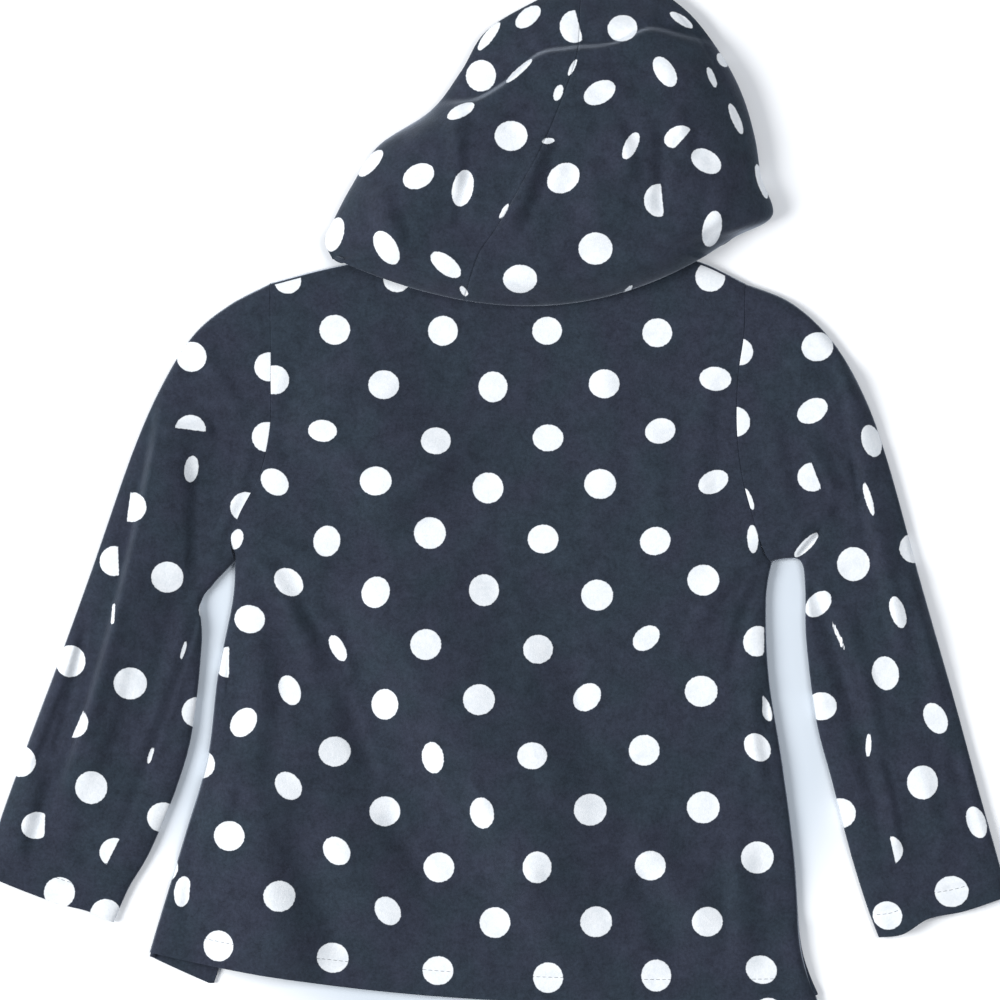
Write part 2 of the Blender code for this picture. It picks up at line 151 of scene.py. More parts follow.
# Each sleeve from its armhole to its cuff: both ends of a line across it.
SleeveRow = namedtuple("SleeveRow", "outer_x outer_y inner_x inner_y")
LEFT_SLEEVE = (
    SleeveRow(-115, 108, -132.5, -31),
    SleeveRow(-135, 97.5, -137, -35.5),
    SleeveRow(-153, 82.5, -143.5, -42.5),
    SleeveRow(-168.5, 58, -149.5, -52),
    SleeveRow(-183.5, 24, -149, -72),
    SleeveRow(-204, -35, -153.5, -114),
    SleeveRow(-221, -82, -161, -142),
    SleeveRow(-239, -130, -174.5, -175),
    SleeveRow(-251, -164, -185.5, -194),
    SleeveRow(-257, -187.5, -193, -211),
)
RIGHT_SLEEVE = (
    SleeveRow(122.5, 108, 136, -31),
    SleeveRow(145.5, 98.5, 143, -29.5),
    SleeveRow(165.5, 80, 150.5, -31),
    SleeveRow(181, 54, 152.5, -44),
    SleeveRow(193.5, 20, 153, -70),
    SleeveRow(210.5, -42, 158, -110),
    SleeveRow(226.5, -98, 166, -141),
    SleeveRow(239.5, -146, 175, -176),
    SleeveRow(248.5, -178, 183, -202),
    SleeveRow(254, -198, 189, -218),
)
ARMHOLE_INFLUENCE = 0.4  # share of the sleeve whose rows still follow the armhole
CUFF_WAVE_REACH = 22.0   # length of sleeve over which the cuff's wave grows
CUFF_RUN = 5             # last rows of the sleeve, which give the way it runs

# How far the cuff's edge waves past its straight line, at shares of its width from
# the outer edge to the inner one.
CuffPoint = namedtuple("CuffPoint", "x y")
LEFT_CUFF_WAVE = (
    CuffPoint(0, 0), CuffPoint(0.35, 0.8), CuffPoint(0.6, 0.6),
    CuffPoint(0.8, -0.8), CuffPoint(1, 0.3),
)
RIGHT_CUFF_WAVE = (
    CuffPoint(0, 0), CuffPoint(0.35, 0.6), CuffPoint(0.62, -1),
    CuffPoint(0.84, 2.6), CuffPoint(1, 0.6),
)

# The hood from its bottom fold to its crown: both ends of a line across it, its
# bow, where the centre-back seam crosses it and the dome's height there.
HoodRow = namedtuple("HoodRow", "left_x left_y right_x right_y bow seam_x height")
HOOD_ROWS = (
    HoodRow(-84, 121, 101.5, 121.2, -24.3, -18, 24),
    HoodRow(-87.5, 130, 117.5, 131.4, -10, -11, 27),
    HoodRow(-82.5, 141, 136, 142, -7, -2, 29),
    HoodRow(-74, 157, 130.5, 161, -3, 10, 30),
    HoodRow(-60.5, 177, 127.5, 180, 0, 22, 30),
    HoodRow(-34.5, 194.5, 121.5, 201, 3, 31, 29),
    HoodRow(-19.5, 214, 112, 220, 6, 38.5, 26),
    HoodRow(-6, 235, 96.5, 241, 8, 40, 21),
    HoodRow(23, 252, 80, 254.5, 7, 41, 16),
)

# The hood's under layer, row by row: its way from the bottom fold to the neckline,
# how far it lies past the neckline, and how much of the width between the outline
# and the centre seam it covers.  Past these rows it is the edge of the face opening.
UnderRow = namedtuple("UnderRow", "to_neck past_neck lip")
UNDER_ROWS = (
    UnderRow(0, 0, 1),
    UnderRow(0.06, 0, 1),
    UnderRow(0.25, 0, 1),
    UnderRow(0.55, 0, 1),
    UnderRow(0.96, 0, 1),
    UnderRow(1, 2.8, 0.5),
    UnderRow(1, 5.2, 0.5),
    UnderRow(1, 8, 0.84),
)
FACE_EDGE = (0.72, 0.56, 0.46, 0.42, 0.44, 0.52, 0.7, 0.97, 1.0, 1.0, 1.0)

# The edge of the hood's front lobe, where it overlaps the band behind it.
LOBE = (
    LinePoint(-60, 193),
    LinePoint(-30, 196.5),
    LinePoint(-11, 198),
    LinePoint(1, 205),
    LinePoint(20, 220.5),
    LinePoint(33, 223),
    LinePoint(58, 226),
    LinePoint(73, 232.5),
    LinePoint(95, 228.5),
    LinePoint(130, 222),
)

# Folds: three points of each crest, the width of its slope on either side as seen
# walking along it, and its rise.  Creases and seam grooves have a negative rise.
Fold = namedtuple("Fold", "x1 y1 x2 y2 x3 y3 left_width right_width rise")
BACK_FOLDS = (
    # the broad fold that runs from under the left armhole to the middle of the hem
    Fold(-68, -26, -27, -112, 48, -230, 75, 26, 9.5),
    Fold(-106, 48, -74, 20, -44, -18, 80, 20, 6.6),
    Fold(-84, -34, -62, -112, -2, -214, 10, 24, -1.5),
    Fold(-2, -176, 22, -214, 52, -238, 30, 18, 2.8),
    # creases out of the left armpit
    Fold(-127, -24, -106, -54, -89, -98, 10, 6, 2.2),
    Fold(-104, -48, -90, -66, -80, -86, 6, 7, -1),
    Fold(-128, -14, -102, -26, -74, -44, 7, 7, 1.1),
    Fold(-84, -62, -78, -76, -72, -92, 7, 2.6, 1.7),
    # the long slanting folds of the lower left
    Fold(-108, -96, -86, -160, -48, -230, 32, 26, 5),
    Fold(-118, -116, -118, -186, -98, -252, 30, 46, 9),
    Fold(-122, -58, -120.5, -104, -128, -150, 12, 13, 3.2),
    Fold(-134, -124, -136, -146, -144, -170, 8, 8, 1.8),
    Fold(-78, -92, -70, -118, -60, -142, 5, 9, -1.5),
    Fold(-60, -152, -44, -176, -34, -196, 7, 12, -1.6),
    Fold(-151, -150, -154, -182, -158, -216, 4, 5, -1),
    # over the middle
    Fold(-38, -112, -31, -130, -22, -152, 6, 9, 1.6),
    Fold(-16, -138, -7, -156, 2, -172, 6, 9, 1.4),
    Fold(6, -84, 20, -120, 42, -164, 14, 14, 1.2),
    Fold(34, -62, 38, -100, 52, -142, 11, 14, -1.1),
    Fold(0, -30, 12, -62, 14, -96, 14, 12, 1),
    # the lower right
    Fold(60, -166, 85, -190, 106, -226, 20, 10, 3.4),
    Fold(64, -186, 80, -206, 93, -240, 9, 16, -2.2),
    Fold(118, -168, 119, -204, 121, -238, 14, 8, 2.4),
    Fold(148, -206, 150, -226, 153, -250, 5, 11, 2),
    Fold(18, -186, 30, -208, 40, -236, 9, 9, -0.9),
    # out of the right armpit and down the right side
    Fold(131, -24, 112, -40, 92, -70, 9, 7, 1.3),
    Fold(134, -36, 122, -58, 114, -92, 6, 6, -1.2),
    Fold(129, -90, 126, -116, 134, -150, 6, 7, 1.5),
    Fold(121, -140, 118, -156, 122, -176, 9, 9, 1.1),
    Fold(134.5, -96, 133, -105, 136, -116, 3, 3, -1.3),
    # across the shoulders
    Fold(-100, 78, -66, 66, -30, 70, 10, 14, 1),
    Fold(96, 84, 70, 68, 40, 66, 14, 10, 1),
    Fold(-66, 60, -50, 30, -20, 6, 30, 20, 1.8),
    Fold(40, 96, 54, 30, 46, -30, 16, 16, 0.9),
    Fold(70, 40, 76, 12, 84, -20, 24, 14, 1.6),
    Fold(108, 74, 100, 20, 104, -26, 9, 10, 1),
    Fold(-104, 14, -108, 40, -100, 74, 8, 7, -0.8),
    # the rolled side seam, seen from the armpit down
    Fold(-135, -66, -135.8, -84, -136, -100, 1.6, 1.6, -1),
)
LEFT_SLEEVE_FOLDS = (
    # the long tuck: the main length lies over the outer strip
    Fold(-166, 62, -188.5, -50, -224.5, -166, 34, 5.5, 6.4),
    Fold(-190, -40, -198, -86, -213, -130, 8, 9, 1.4),
    # the short tuck across the upper arm, the crest beside it and its dark side
    Fold(-172, 36.5, -154, 35, -142, 36.5, 4, 6.5, 1.7),
    Fold(-162, 34, -159.5, -6, -157, -52, 8, 18, 1.5),
    Fold(-151, 18, -153, -12, -155, -44, 7, 4, -0.5),
    Fold(-124, 28, -130, 4, -142, -30, 6, 6, 1.2),
    Fold(-150, 84, -140, 58, -128, 40, 9, 11, 1.2),
    # the underarm seam, rolled on to the back
    Fold(-146, -40, -163, -96, -194.5, -182, 3, 6, -0.9),
    Fold(-156, -50, -168, -98, -188, -142, 12, 8, 1.4),
    Fold(-193, -104, -214, -148, -222, -184, 9, 9, 0.8),
    Fold(-180, -66, -188, -106, -200, -140, 7, 6, -0.7),
    # the outer strip
    Fold(-210, -62, -225, -104, -240, -140, 5, 9, 2),
    Fold(-206, -52, -214, -96, -226, -136, 4, 4, -1),
    Fold(-228, -132, -237, -158, -242, -184, 8, 16, 3),
    Fold(-210, -186, -220, -176, -238, -172, 6, 6, 0.8),
)
RIGHT_SLEEVE_FOLDS = (
    # the long light fold down the outer side, in two lengths
    Fold(169, 74, 178, 38, 184.5, 2, 12, 6, 2.8),
    Fold(182.5, 4, 191, -28, 203, -84, 12, 7.5, 3.8),
    Fold(176, 26, 180, 2, 185, -22, 4, 4, -1),
    Fold(203, -28, 211, -62, 223, -104, 7, 8, 2.2),
    # creases out of the armpit
    Fold(148, -30, 154, -23, 163, -13, 2.6, 4, -1.9),
    Fold(146, -22, 156, -10, 170, -4, 6, 5, 1.7),
    Fold(150, 32, 162, 14, 166, 2, 8, 3, 1.8),
    Fold(134, 52, 138, 22, 146, -6, 8, 9, 1.2),
    Fold(142, 76, 158, 58, 176, 50, 9, 8, 1.1),
    # the underarm seam, rolled on to the back: dark before it and light past it
    Fold(152, -36, 169, -80, 195, -178, 5, 9, -2),
    Fold(166, -46, 181, -88, 189, -132, 8, 5, 1.6),
    Fold(186, -124, 194, -150, 199, -184, 5, 8, 1.5),
    Fold(206, -118, 214, -150, 228, -186, 9, 10, 1.3),
    Fold(224, -120, 232, -150, 240, -176, 5, 6, -0.9),
)
HOOD_FOLDS = (
    # beside the centre-back seam
    Fold(23, 182, 13.5, 155, 0, 124, 8, 8, 2.4),
    Fold(26, 176, 20, 156, 12, 138, 6.9, 6.9, -1.5),
    Fold(24, 184, 27, 179, 30, 173, 3.4, 4.6, -1.1),
    # the left side's gathers
    Fold(-22, 200, -21.5, 178, -22, 150, 6.9, 6.9, 2.1),
    Fold(-14, 168, -18, 150, -21, 132, 5.8, 5.8, -1.4),
    Fold(-62, 158, -56, 140, -48, 116, 9, 12, 2.6),
    Fold(-66, 132, -52, 122, -32, 112, 5.8, 9.2, -1.2),
    Fold(-46, 182, -38, 176, -26, 174, 6.9, 9.2, 1),
    # the right side's gathers
    Fold(56, 190, 62, 174, 65, 156, 6.9, 9.2, 1.6),
    Fold(48, 172, 49, 150, 44, 122, 30, 15, 3),
    Fold(80, 190, 81, 166, 79, 136, 5.8, 6.9, -1.7),
    Fold(86, 196, 91, 184, 92, 166, 6.9, 5.8, 1.6),
    Fold(95, 184, 88, 176, 84, 168, 3.4, 4.6, -1),
    Fold(112, 186, 112, 158, 106, 132, 8, 9.2, 1.4),
    Fold(99, 124, 108, 134, 128, 141, 4.6, 4.6, -1.2),
    # round the crown
    Fold(30, 216, 44, 212, 62, 206, 6.9, 6.9, 1.1),
    Fold(78, 214, 94, 210, 108, 203, 6.9, 12.6, 1.5),
    Fold(42, 233, 62, 238, 80, 240, 5.8, 13.8, 1.5),
    Fold(110, 222, 117.5, 200, 122, 176, 5.8, 6.9, 1.2),
    Fold(-6, 190, 8, 196, 24, 206, 5.8, 8, 0.9),
    # along the bottom roll
    Fold(-70, 126, 0, 108, 84, 122, 11, 9, 1.8),
)

# The print, charted dot by dot as it lies on the garment: the dot's place, its length
# and width on the plan, and the turn of its long axis.  Where a fold covers part of it,
# hidden_turn points to the part that doesn't show, which starts hidden_from away from
# the middle.
Dot = namedtuple("Dot", "x y length width turn hidden_turn hidden_from",
                 defaults=(DOT_SIZE, DOT_SIZE, 0.0, 0.0, 99.0))
BACK_DOTS = (
    (-106, 109.5, 13.5, 13), (-51.5, 110.5, 14, 13.5), (105, 111.5), (-82.5, 85, 15.5, 15),
    (-28.5, 84.5), (23.5, 84.5, 15, 14), (78.5, 83.5, 15, 14.5), (-112.5, 60, 14.5, 14.5),
    (-58, 57.5, 15.5, 14.5), (-3.5, 56.5, 14.5, 15.5), (52, 58, 15.5, 14.5),
    (107.5, 60.5, 16, 12, -5), (-88.5, 34.5, 14.5, 11, -5), (-32, 29.5, 15, 13.5),
    (24, 31, 15.5, 13.5), (80, 34.5, 15.5, 12.5, 15), (-112.5, 9, 15.5, 12, -42),
    (-62, 9.5, 16, 14.5), (-6, 6, 15.5, 15.5), (50, 8, 16, 15), (106.5, 9, 16, 11, 27),
    (-131.6, -19.6, 10.5, 6.6, 72), (-86.5, -20.5, 15.5, 13.5, 80), (-35, -16.5, 16, 16),
    (21.5, -19.5, 15.5, 14.5), (77.5, -20.5, 15.5, 14, 20), (126.2, -19.5, 14.2, 5.6, 93),
    (-105.5, -41, 16, 12.5, -42), (-62, -46, 16, 14, 70), (-8, -45, 16, 15, 90),
    (48.5, -47.5, 16, 15.5), (101.5, -40, 16, 15.5), (-125, -59.5, 15.5, 14, -15),
    (-81, -74, 14.5, 7, -62), (-37, -72, 15.5, 15.5), (19, -74.5, 15, 14.5), (73, -69, 15, 11, 40),
    (128.5, -70.5, 15.5, 14, 70, 0, 3.5), (-105, -95, 15.5, 10.5, -68),
    (-57.5, -102, 15.5, 13.5, 90), (-10.5, -99.5, 16, 15.5), (43.5, -98.5, 15.5, 12.5, 45),
    (100.5, -95.5, 16.5, 15.5), (-128, -111, 16, 12, 52), (-82.5, -125.5, 16, 15),
    (-33.5, -128.5, 16, 11, -82), (16, -127.5, 15, 13.5), (72, -125, 15.5, 15.5),
    (128.5, -123.5, 15.5, 12, -50), (-105.5, -142.5, 15.5, 12, -50), (-57.5, -155.5, 15.5, 15),
    (-9, -156, 16, 12, -80), (45, -154.5, 16.5, 16), (101.5, -153.5, 16.5, 16),
    (-135, -167.5, 15.5, 15), (-81.5, -175, 15.5, 12.5, -50), (-30.5, -183.5, 15.5, 15),
    (18.5, -183, 16, 14.5, 90), (75, -182.5, 15.5, 15), (128.5, -178.5, 16.5, 16),
    (-110, -197.5, 16, 15.5), (-56, -205, 15.5, 12, -55), (-2.5, -211, 15.5, 15.5),
    (48, -210.5, 16, 15.5), (103.5, -210.5, 15.5, 15), (-140.5, -222.5, 15.5, 15, 90),
    (-83.5, -228.5, 16, 15, -20), (-31, -235, 15.5, 14.5), (24, -238.5, 15, 15.5),
    (78, -237.5, 15, 16), (130.5, -234.5, 16, 14, -25), (-158.5, -195.5, 15.5, 8.5, 82, -5, 3.5),
)

SIDE_DOTS = (
    (-135.5, -81, 15.5, 15.5, 0, 0, 0.2), (-149.5, -132, 14.5, 14.5), (-168.5, -183.5, 15.5, 15.5),
    (132.5, -104, 14, 5.5, -68, 180, 1.5), (134, -256),
)

LEFT_SLEEVE_DOTS = (
    (-154, 71.5), (-154.5, 35, 15.5, 15, 0, -97, 0), (-115.5, 66.5, 14.5, 14.5), (-116.5, 31.5),
    (-127, -3.5, 15.5, 15), (-154, 15.5, 13.5, 7, 82), (-184, -3.5, 15.5, 15, 0, 172, 1.5),
    (-192.5, -30.5, 15, 15, 0, 2, 2), (-166, -38.5, 16, 15.5), (-193, -57, 11, 1.8, 86),
    (-214.5, -80.5, 16, 15, 90), (-184.5, -91.5, 16.5, 16), (-213, -111, 15.5, 15.5, 0, 157, -2.2),
    (-239.5, -130.5, 15.5, 15.5), (-204, -143.5, 16.5, 16, 90),
    (-231.5, -162.5, 15, 13.5, 15, -2, 4.2), (-192.5, -176, 15, 14.5, 0, -27, -0.8),
    (-220, -196, 15.5, 15.5), (-197, -207, 15.5, 15.5), (-168.5, -158.5, 15.5, 15), (-151.5, -106),
    (-158, -75, 9.5, 2, 74), (-174.5, -127.5, 9, 2.2, 72), (-143.5, -55, 14, 14),
)

RIGHT_SLEEVE_DOTS = (
    (158.5, 76.5, 16, 14.5, 10), (156, 44.5, 16.5, 11.5, 30), (119.5, 74, 14, 13.5), (117.5, 39),
    (124.2, 0.5, 11.6, 3.6, -68), (185.5, 29.5, 16.5, 10, -73), (156, 11.5, 15, 14.5, 0, 21, 2.2),
    (184, 0.5, 17, 3.5, -74), (153, -22.5, 16.5, 5, 45), (176.5, -32, 17, 16.5, 90),
    (159, -52, 15.5, 10.5, 45), (207, -24, 15.5, 15), (198.5, -56, 16.5, 7.5, -72),
    (169, -68, 15.5, 1.8, -66), (192.5, -86.5, 17, 13.5, -78), (217.5, -109, 16.5, 11, -62),
    (160.5, -103, 15.5, 14), (184, -122.5, 12, 2.8, 88), (211, -141, 17, 15.5, 90),
    (170, -156.5, 15.5, 15), (238, -161, 16.5, 9.5, -70), (193.5, -175, 15.5, 15, 0, 193, -2.5),
    (225.5, -195.5, 17, 15.5), (193.5, -207.5, 15, 14, -30),
)

HOOD_DOTS = (
    (14, 241, 15, 8.5, 40), (-9.5, 211.5, 16, 15, 90), (9.5, 213.5, 17.5, 3.5, 42),
    (-19.5, 193.5, 15, 6.5, 27), (-64.5, 168, 17, 7, 48), (-40.5, 161, 16.5, 12, 28),
    (-18.5, 155, 18.5, 10.5, 78), (5.5, 181, 16.5, 15), (-82.5, 132.5, 17.5, 9, 74),
    (-56.5, 125.5, 18.5, 10.5, -58), (-27, 117, 18, 9, -38), (10, 110, 17, 14),
    (2, 143.5, 8.5, 2.5, 62), (24, 178.5, 6.5, 3.2, 5), (-18, 104, 6, 3, -55), (47.5, 125, 17, 16),
    (31.5, 160, 17.5, 14, 38), (49.5, 202.5, 17, 11, 28), (82, 213, 17, 9.5, -58),
    (36, 215, 9, 2.5, 64), (29, 202.5, 8.5, 4.5, 72), (37, 236, 16.5, 14.5, 90, 14, 2.5),
    (61, 235, 15, 13.5, 10), (90.5, 239.5, 13.5, 4.5, -33), (105.5, 210.5, 11, 3.5, -68),
    (117.5, 190, 16.5, 4.4, -67), (130.5, 159, 18, 4.5, -73), (105.5, 135, 18, 9.5, 78),
    (79, 149, 16.5, 15, 90, 5, 1.8), (102.5, 168.5, 16.5, 11, -32),
    (88.5, 180.5, 14.5, 10.5, 25, -42, 2.5), (65, 176, 15, 6.5, 64), (63, 103.5, 9, 2.5, 52),
    (-5.5, 231.5, 17.5, 5, 53), (111, 219.5, 8, 5, -55),
)

FOLD_STEPS = 24          # pieces that a fold's curve is measured in
FOLD_END_FADE = 0.22     # share of a fold's length over which either end dies away

# Slow waves that the cloth keeps from wear and washing: the length of a wave, the
# way it runs in degrees, and its height.
Wave = namedtuple("Wave", "length heading height")
SETTLING = (
    Wave(61.0, 24.0, 0.26),
    Wave(43.0, 112.0, 0.20),
    Wave(27.0, 67.0, 0.13),
    Wave(17.0, 158.0, 0.09),
    Wave(11.5, 38.0, 0.06),
    Wave(8.3, 96.0, 0.04),
)
SETTLING_BEND = 0.9      # how far the waves wander from straight lines, in radians
SETTLING_BEND_SHARE = 1.7  # length of a bend, in lengths of its wave
SLEEVE_SETTLING_SHIFT = (40.0, -25.0)  # the waves start elsewhere on each piece
HOOD_SETTLING_SHIFT = (-15.0, 60.0)
HOOD_SETTLING = 2.2      # the hood's loose cloth waves this much more

# Seams and stitching.
HEM_STITCH_INSET = 13.0  # from the hem's edge to its line of stitches
CUFF_STITCH_INSET = 12.0
STITCH_GROOVE = 0.45     # the stitches pull the cloth in by this much
STITCH_GROOVE_WIDTH = 2.6
STITCH_LENGTH = 2.3
STITCH_SPACING = 3.0
STITCH_START = 0.75      # middle of the first stitch, in spacings
STITCH_THICKNESS = 0.2
STITCH_SIDES = 6
# A stitch from end to end: place along its length, share of its thickness, and how far
# its middle stands out of the cloth, in half thicknesses.
StitchRing = namedtuple("StitchRing", "place size rise")
STITCH_RINGS = (
    StitchRing(-0.5, 0.0, -0.9),
    StitchRing(-0.42, 0.8, -0.2),
    StitchRing(-0.15, 1.0, 0.5),
    StitchRing(0.15, 1.0, 0.5),
    StitchRing(0.42, 0.8, -0.2),
    StitchRing(0.5, 0.0, -0.9),
)
HOOD_RIM_WIDTH = 7.0     # the sewn band round the hood's outline on its right side
HOOD_RIM_LINE = 2.4
HOOD_RIM_GROOVE = 0.35
HOOD_RIM_START_Y = 128.0  # where the band's seam begins above the bottom fold
HOOD_RIM_BLEND = 20.0

# Grid sizes of the cloth's meshes.
BODY_COLUMNS = 178
BODY_LOWER_ROWS = 146
BODY_UPPER_ROWS = 92
FRONT_COLUMNS = 112
FRONT_LOWER_ROWS = 84
FRONT_UPPER_ROWS = 50
SLEEVE_ROWS_MADE = 232
SLEEVE_TOP_COLUMNS = 84
SLEEVE_LOW_COLUMNS = 46
HOOD_ROWS_MADE = 176
HOOD_TOP_COLUMNS = 108
HOOD_LOW_COLUMNS = 34
INNER_CLEARANCE = 0.4    # the inner skin stays at least this high in tight folds
SAME_POINT = 1e-7        # in metres, where two rows of a grid meet in one point


def mix(first, second, share):
    return first + (second - first) * share


def ease(share):
    share = np.clip(share, 0.0, 1.0)
    return share * share * (3.0 - 2.0 * share)


def rolled(distance, width):
    """Height share of a rolled edge: 0 on the edge, 1 from its width inwards."""
    away = 1.0 - np.clip(distance / width, 0.0, 1.0)
    return np.sqrt(1.0 - away * away)


def edge_shares(count):
    """Shares from 0 to 1 that lie closer together near both ends."""
    return 0.5 - 0.5 * np.cos(pi * np.arange(count + 1) / count)


def gathered_shares(count):
    """Shares from 0 to 1, half even and half closer together near both ends."""
    return 0.5 * (np.arange(count + 1) / count + edge_shares(count))


def table_at(table, shares):
    """Columns of a table at shares of its length, on a smooth curve through its rows."""
    rows = np.array(table, float)
    place = np.clip(np.asarray(shares, float), 0.0, 1.0) * (len(rows) - 1)
    index = np.minimum(place.astype(int), len(rows) - 2)
    t = (place - index)[..., None]
    p0 = rows[np.maximum(index - 1, 0)]
    p1 = rows[index]
    p2 = rows[index + 1]
    p3 = rows[np.minimum(index + 2, len(rows) - 1)]
    slope_1 = (p2 - p0) / 2.0
    slope_2 = (p3 - p1) / 2.0
    cubic = 2.0 * p1 - 2.0 * p2 + slope_1 + slope_2
    square = 3.0 * p2 - 3.0 * p1 - 2.0 * slope_1 - slope_2
    values = ((cubic * t + square) * t + slope_1) * t + p1
    return type(table[0])(*np.moveaxis(values, -1, 0))


def smooth_line(places, values, x):
    """Value at x on a smooth curve through (place, value) points."""
    places = np.asarray(places, float)
    values = np.asarray(values, float)
    slopes = np.gradient(values, places)
    x = np.clip(x, places[0], places[-1])
    index = np.clip(np.searchsorted(places, x, side="right") - 1, 0, len(places) - 2)
    run = places[index + 1] - places[index]
    t = (x - places[index]) / run
    start = (1.0 + 2.0 * t) * (1.0 - t) ** 2 * values[index] + t * (1.0 - t) ** 2 * run * slopes[index]
    end = t * t * (3.0 - 2.0 * t) * values[index + 1] + t * t * (t - 1.0) * run * slopes[index + 1]
    return start + end


def line_y(line, x):
    """y of a line of (x, y) points, at x."""
    return smooth_line([point.x for point in line], [point.y for point in line], x)


def fold_relief(folds, x, y):
    """How far the folds lift the cloth, or sink it, at places."""
    relief = np.zeros(x.shape)
    t = np.arange(FOLD_STEPS + 1) / FOLD_STEPS
    shares = ((1.0 - t) * (1.0 - 2.0 * t), 4.0 * t * (1.0 - t), t * (2.0 * t - 1.0))
    for fold in folds:
        crest_x = shares[0] * fold.x1 + shares[1] * fold.x2 + shares[2] * fold.x3
        crest_y = shares[0] * fold.y1 + shares[1] * fold.y2 + shares[2] * fold.y3
        best = np.full(x.shape, np.inf)
        lift = np.zeros(x.shape)
        for k in range(FOLD_STEPS):
            step_x = crest_x[k + 1] - crest_x[k]
            step_y = crest_y[k + 1] - crest_y[k]
            length = np.hypot(step_x, step_y)
            from_x = x - crest_x[k]
            from_y = y - crest_y[k]
            along = np.clip((from_x * step_x + from_y * step_y) / length ** 2, 0.0, 1.0)
            away = np.hypot(from_x - along * step_x, from_y - along * step_y)
            nearer = away < best
            side = step_x * from_y - step_y * from_x
            width = np.where(side > 0.0, fold.left_width, fold.right_width)
            run = (k + along) / FOLD_STEPS
            fade = ease(np.minimum(run, 1.0 - run) / FOLD_END_FADE)
            lift = np.where(nearer, fold.rise * fade * ease(1.0 - away / width), lift)
            best = np.where(nearer, away, best)
        relief += FOLD_HEIGHT * lift
    return relief


def settling(x, y, shift=(0.0, 0.0)):
    """Slow waves of the whole cloth."""
    x = x + shift[0]
    y = y + shift[1]
    total = np.zeros(x.shape)
    for number, wave in enumerate(SETTLING):
        heading = radians(wave.heading)
        along = x * cos(heading) + y * sin(heading)
        across = y * cos(heading) - x * sin(heading)
        bend_length = wave.length * SETTLING_BEND_SHARE
        bend = SETTLING_BEND * np.sin(2.0 * pi * across / bend_length + number)
        total += wave.height * np.sin(2.0 * pi * along / wave.length + bend + 2.0 * number)
    return total


def groove(distance, width):
    """1 on a line and 0 from its width away."""
    return ease(1.0 - np.abs(distance) / width)


def dot_depth(dots, x, y):
    """How far places lie inside the nearest dot, and below zero outside it."""
    depth = np.full(x.shape, -PRINT_FADE)
    for row in dots:
        dot = Dot(*row)
        turn = radians(dot.turn)
        hidden = radians(dot.hidden_turn)
        from_x = x - dot.x
        from_y = y - dot.y
        along = (from_x * cos(turn) + from_y * sin(turn)) / (dot.length / 2.0)
        across = (from_y * cos(turn) - from_x * sin(turn)) / (dot.width / 2.0)
        radius = np.maximum(np.hypot(along, across), 1e-3)
        steepness = np.hypot(along / (dot.length / 2.0), across / (dot.width / 2.0))
        inside = (1.0 - radius) * radius / np.maximum(steepness, 1e-3)
        inside = np.minimum(inside, dot.hidden_from - from_x * cos(hidden) - from_y * sin(hidden))
        depth = np.maximum(depth, inside)
    return depth


def even_dots(along, across, width):
    """Depth inside the even repeat, away from both edges of a layer of that width."""
    depth = np.full(np.broadcast(along, across).shape, -PRINT_FADE)
    for shift in (0.0, 0.5):
        middle_x = (np.round(across / DOT_REPEAT - shift) + shift) * DOT_REPEAT
        middle_y = (np.round(along / DOT_REPEAT - shift) + shift) * DOT_REPEAT
        clear = (middle_x > PRINT_MARGIN) & (middle_x < width - PRINT_MARGIN)
        inside = DOT_SIZE / 2.0 - np.hypot(across - middle_x, along - middle_y)
        depth = np.where(clear, np.maximum(depth, inside), depth)
    return depth


def cloth_piece(name, points, depth, settings, ring=False, flip=False):
    """Closed wall of fleece from rows of points on its outer skin."""
    rows, columns = points.shape[:2]
    number = np.arange(rows * columns).reshape(rows, columns)
    if ring:
        number = np.hstack([number, number[:, :1]])
    corners = [number[:-1, :-1], number[:-1, 1:], number[1:, 1:], number[1:, :-1]]
    faces = np.stack(corners[::-1] if flip else corners, axis=-1).reshape(-1, 4)
    data = bpy.data.meshes.new(name)
    data.from_pydata((points.reshape(-1, 3) * MM).tolist(), [], faces.tolist())
    print_depth = data.attributes.new("dot_depth", "FLOAT", "POINT")
    print_depth.data.foreach_set("value", depth.reshape(-1).astype(np.float32))
    merged = bmesh.new()
    merged.from_mesh(data)
    bmesh.ops.remove_doubles(merged, verts=merged.verts, dist=SAME_POINT)
    merged.to_mesh(data)
    merged.free()
    data.update()
    outer_count = len(data.vertices)
    piece = bpy.data.objects.new(name, data)
    bpy.context.scene.collection.objects.link(piece)
    bpy.ops.object.select_all(action="DESELECT")
    piece.select_set(True)
    bpy.context.view_layer.objects.active = piece
    wall = piece.modifiers.new("Wall", "SOLIDIFY")
    wall.thickness = settings.cloth_thickness
    wall.offset = -1.0
    bpy.ops.object.modifier_apply(modifier=wall.name)
    places = np.zeros(len(data.vertices) * 3, np.float32)
    data.vertices.foreach_get("co", places)
    heights = places[2::3]
    heights[outer_count:] = np.maximum(heights[outer_count:], INNER_CLEARANCE * MM)
    data.vertices.foreach_set("co", places)
    values = np.zeros(len(data.vertices), np.float32)
    data.attributes["dot_depth"].data.foreach_get("value", values)
    values[outer_count:] = -PRINT_FADE
    data.attributes["dot_depth"].data.foreach_set("value", values)
    bpy.ops.object.shade_smooth()
    data.materials.append(printed_fleece(settings))
    return piece


def neck_share(x):
    """1 across the neck opening, 0 on the shoulder seams beside it."""
    return ease((x - NECK_LEFT) / NECK_BLEND + 1.0) * ease((NECK_RIGHT - x) / NECK_BLEND + 1.0)


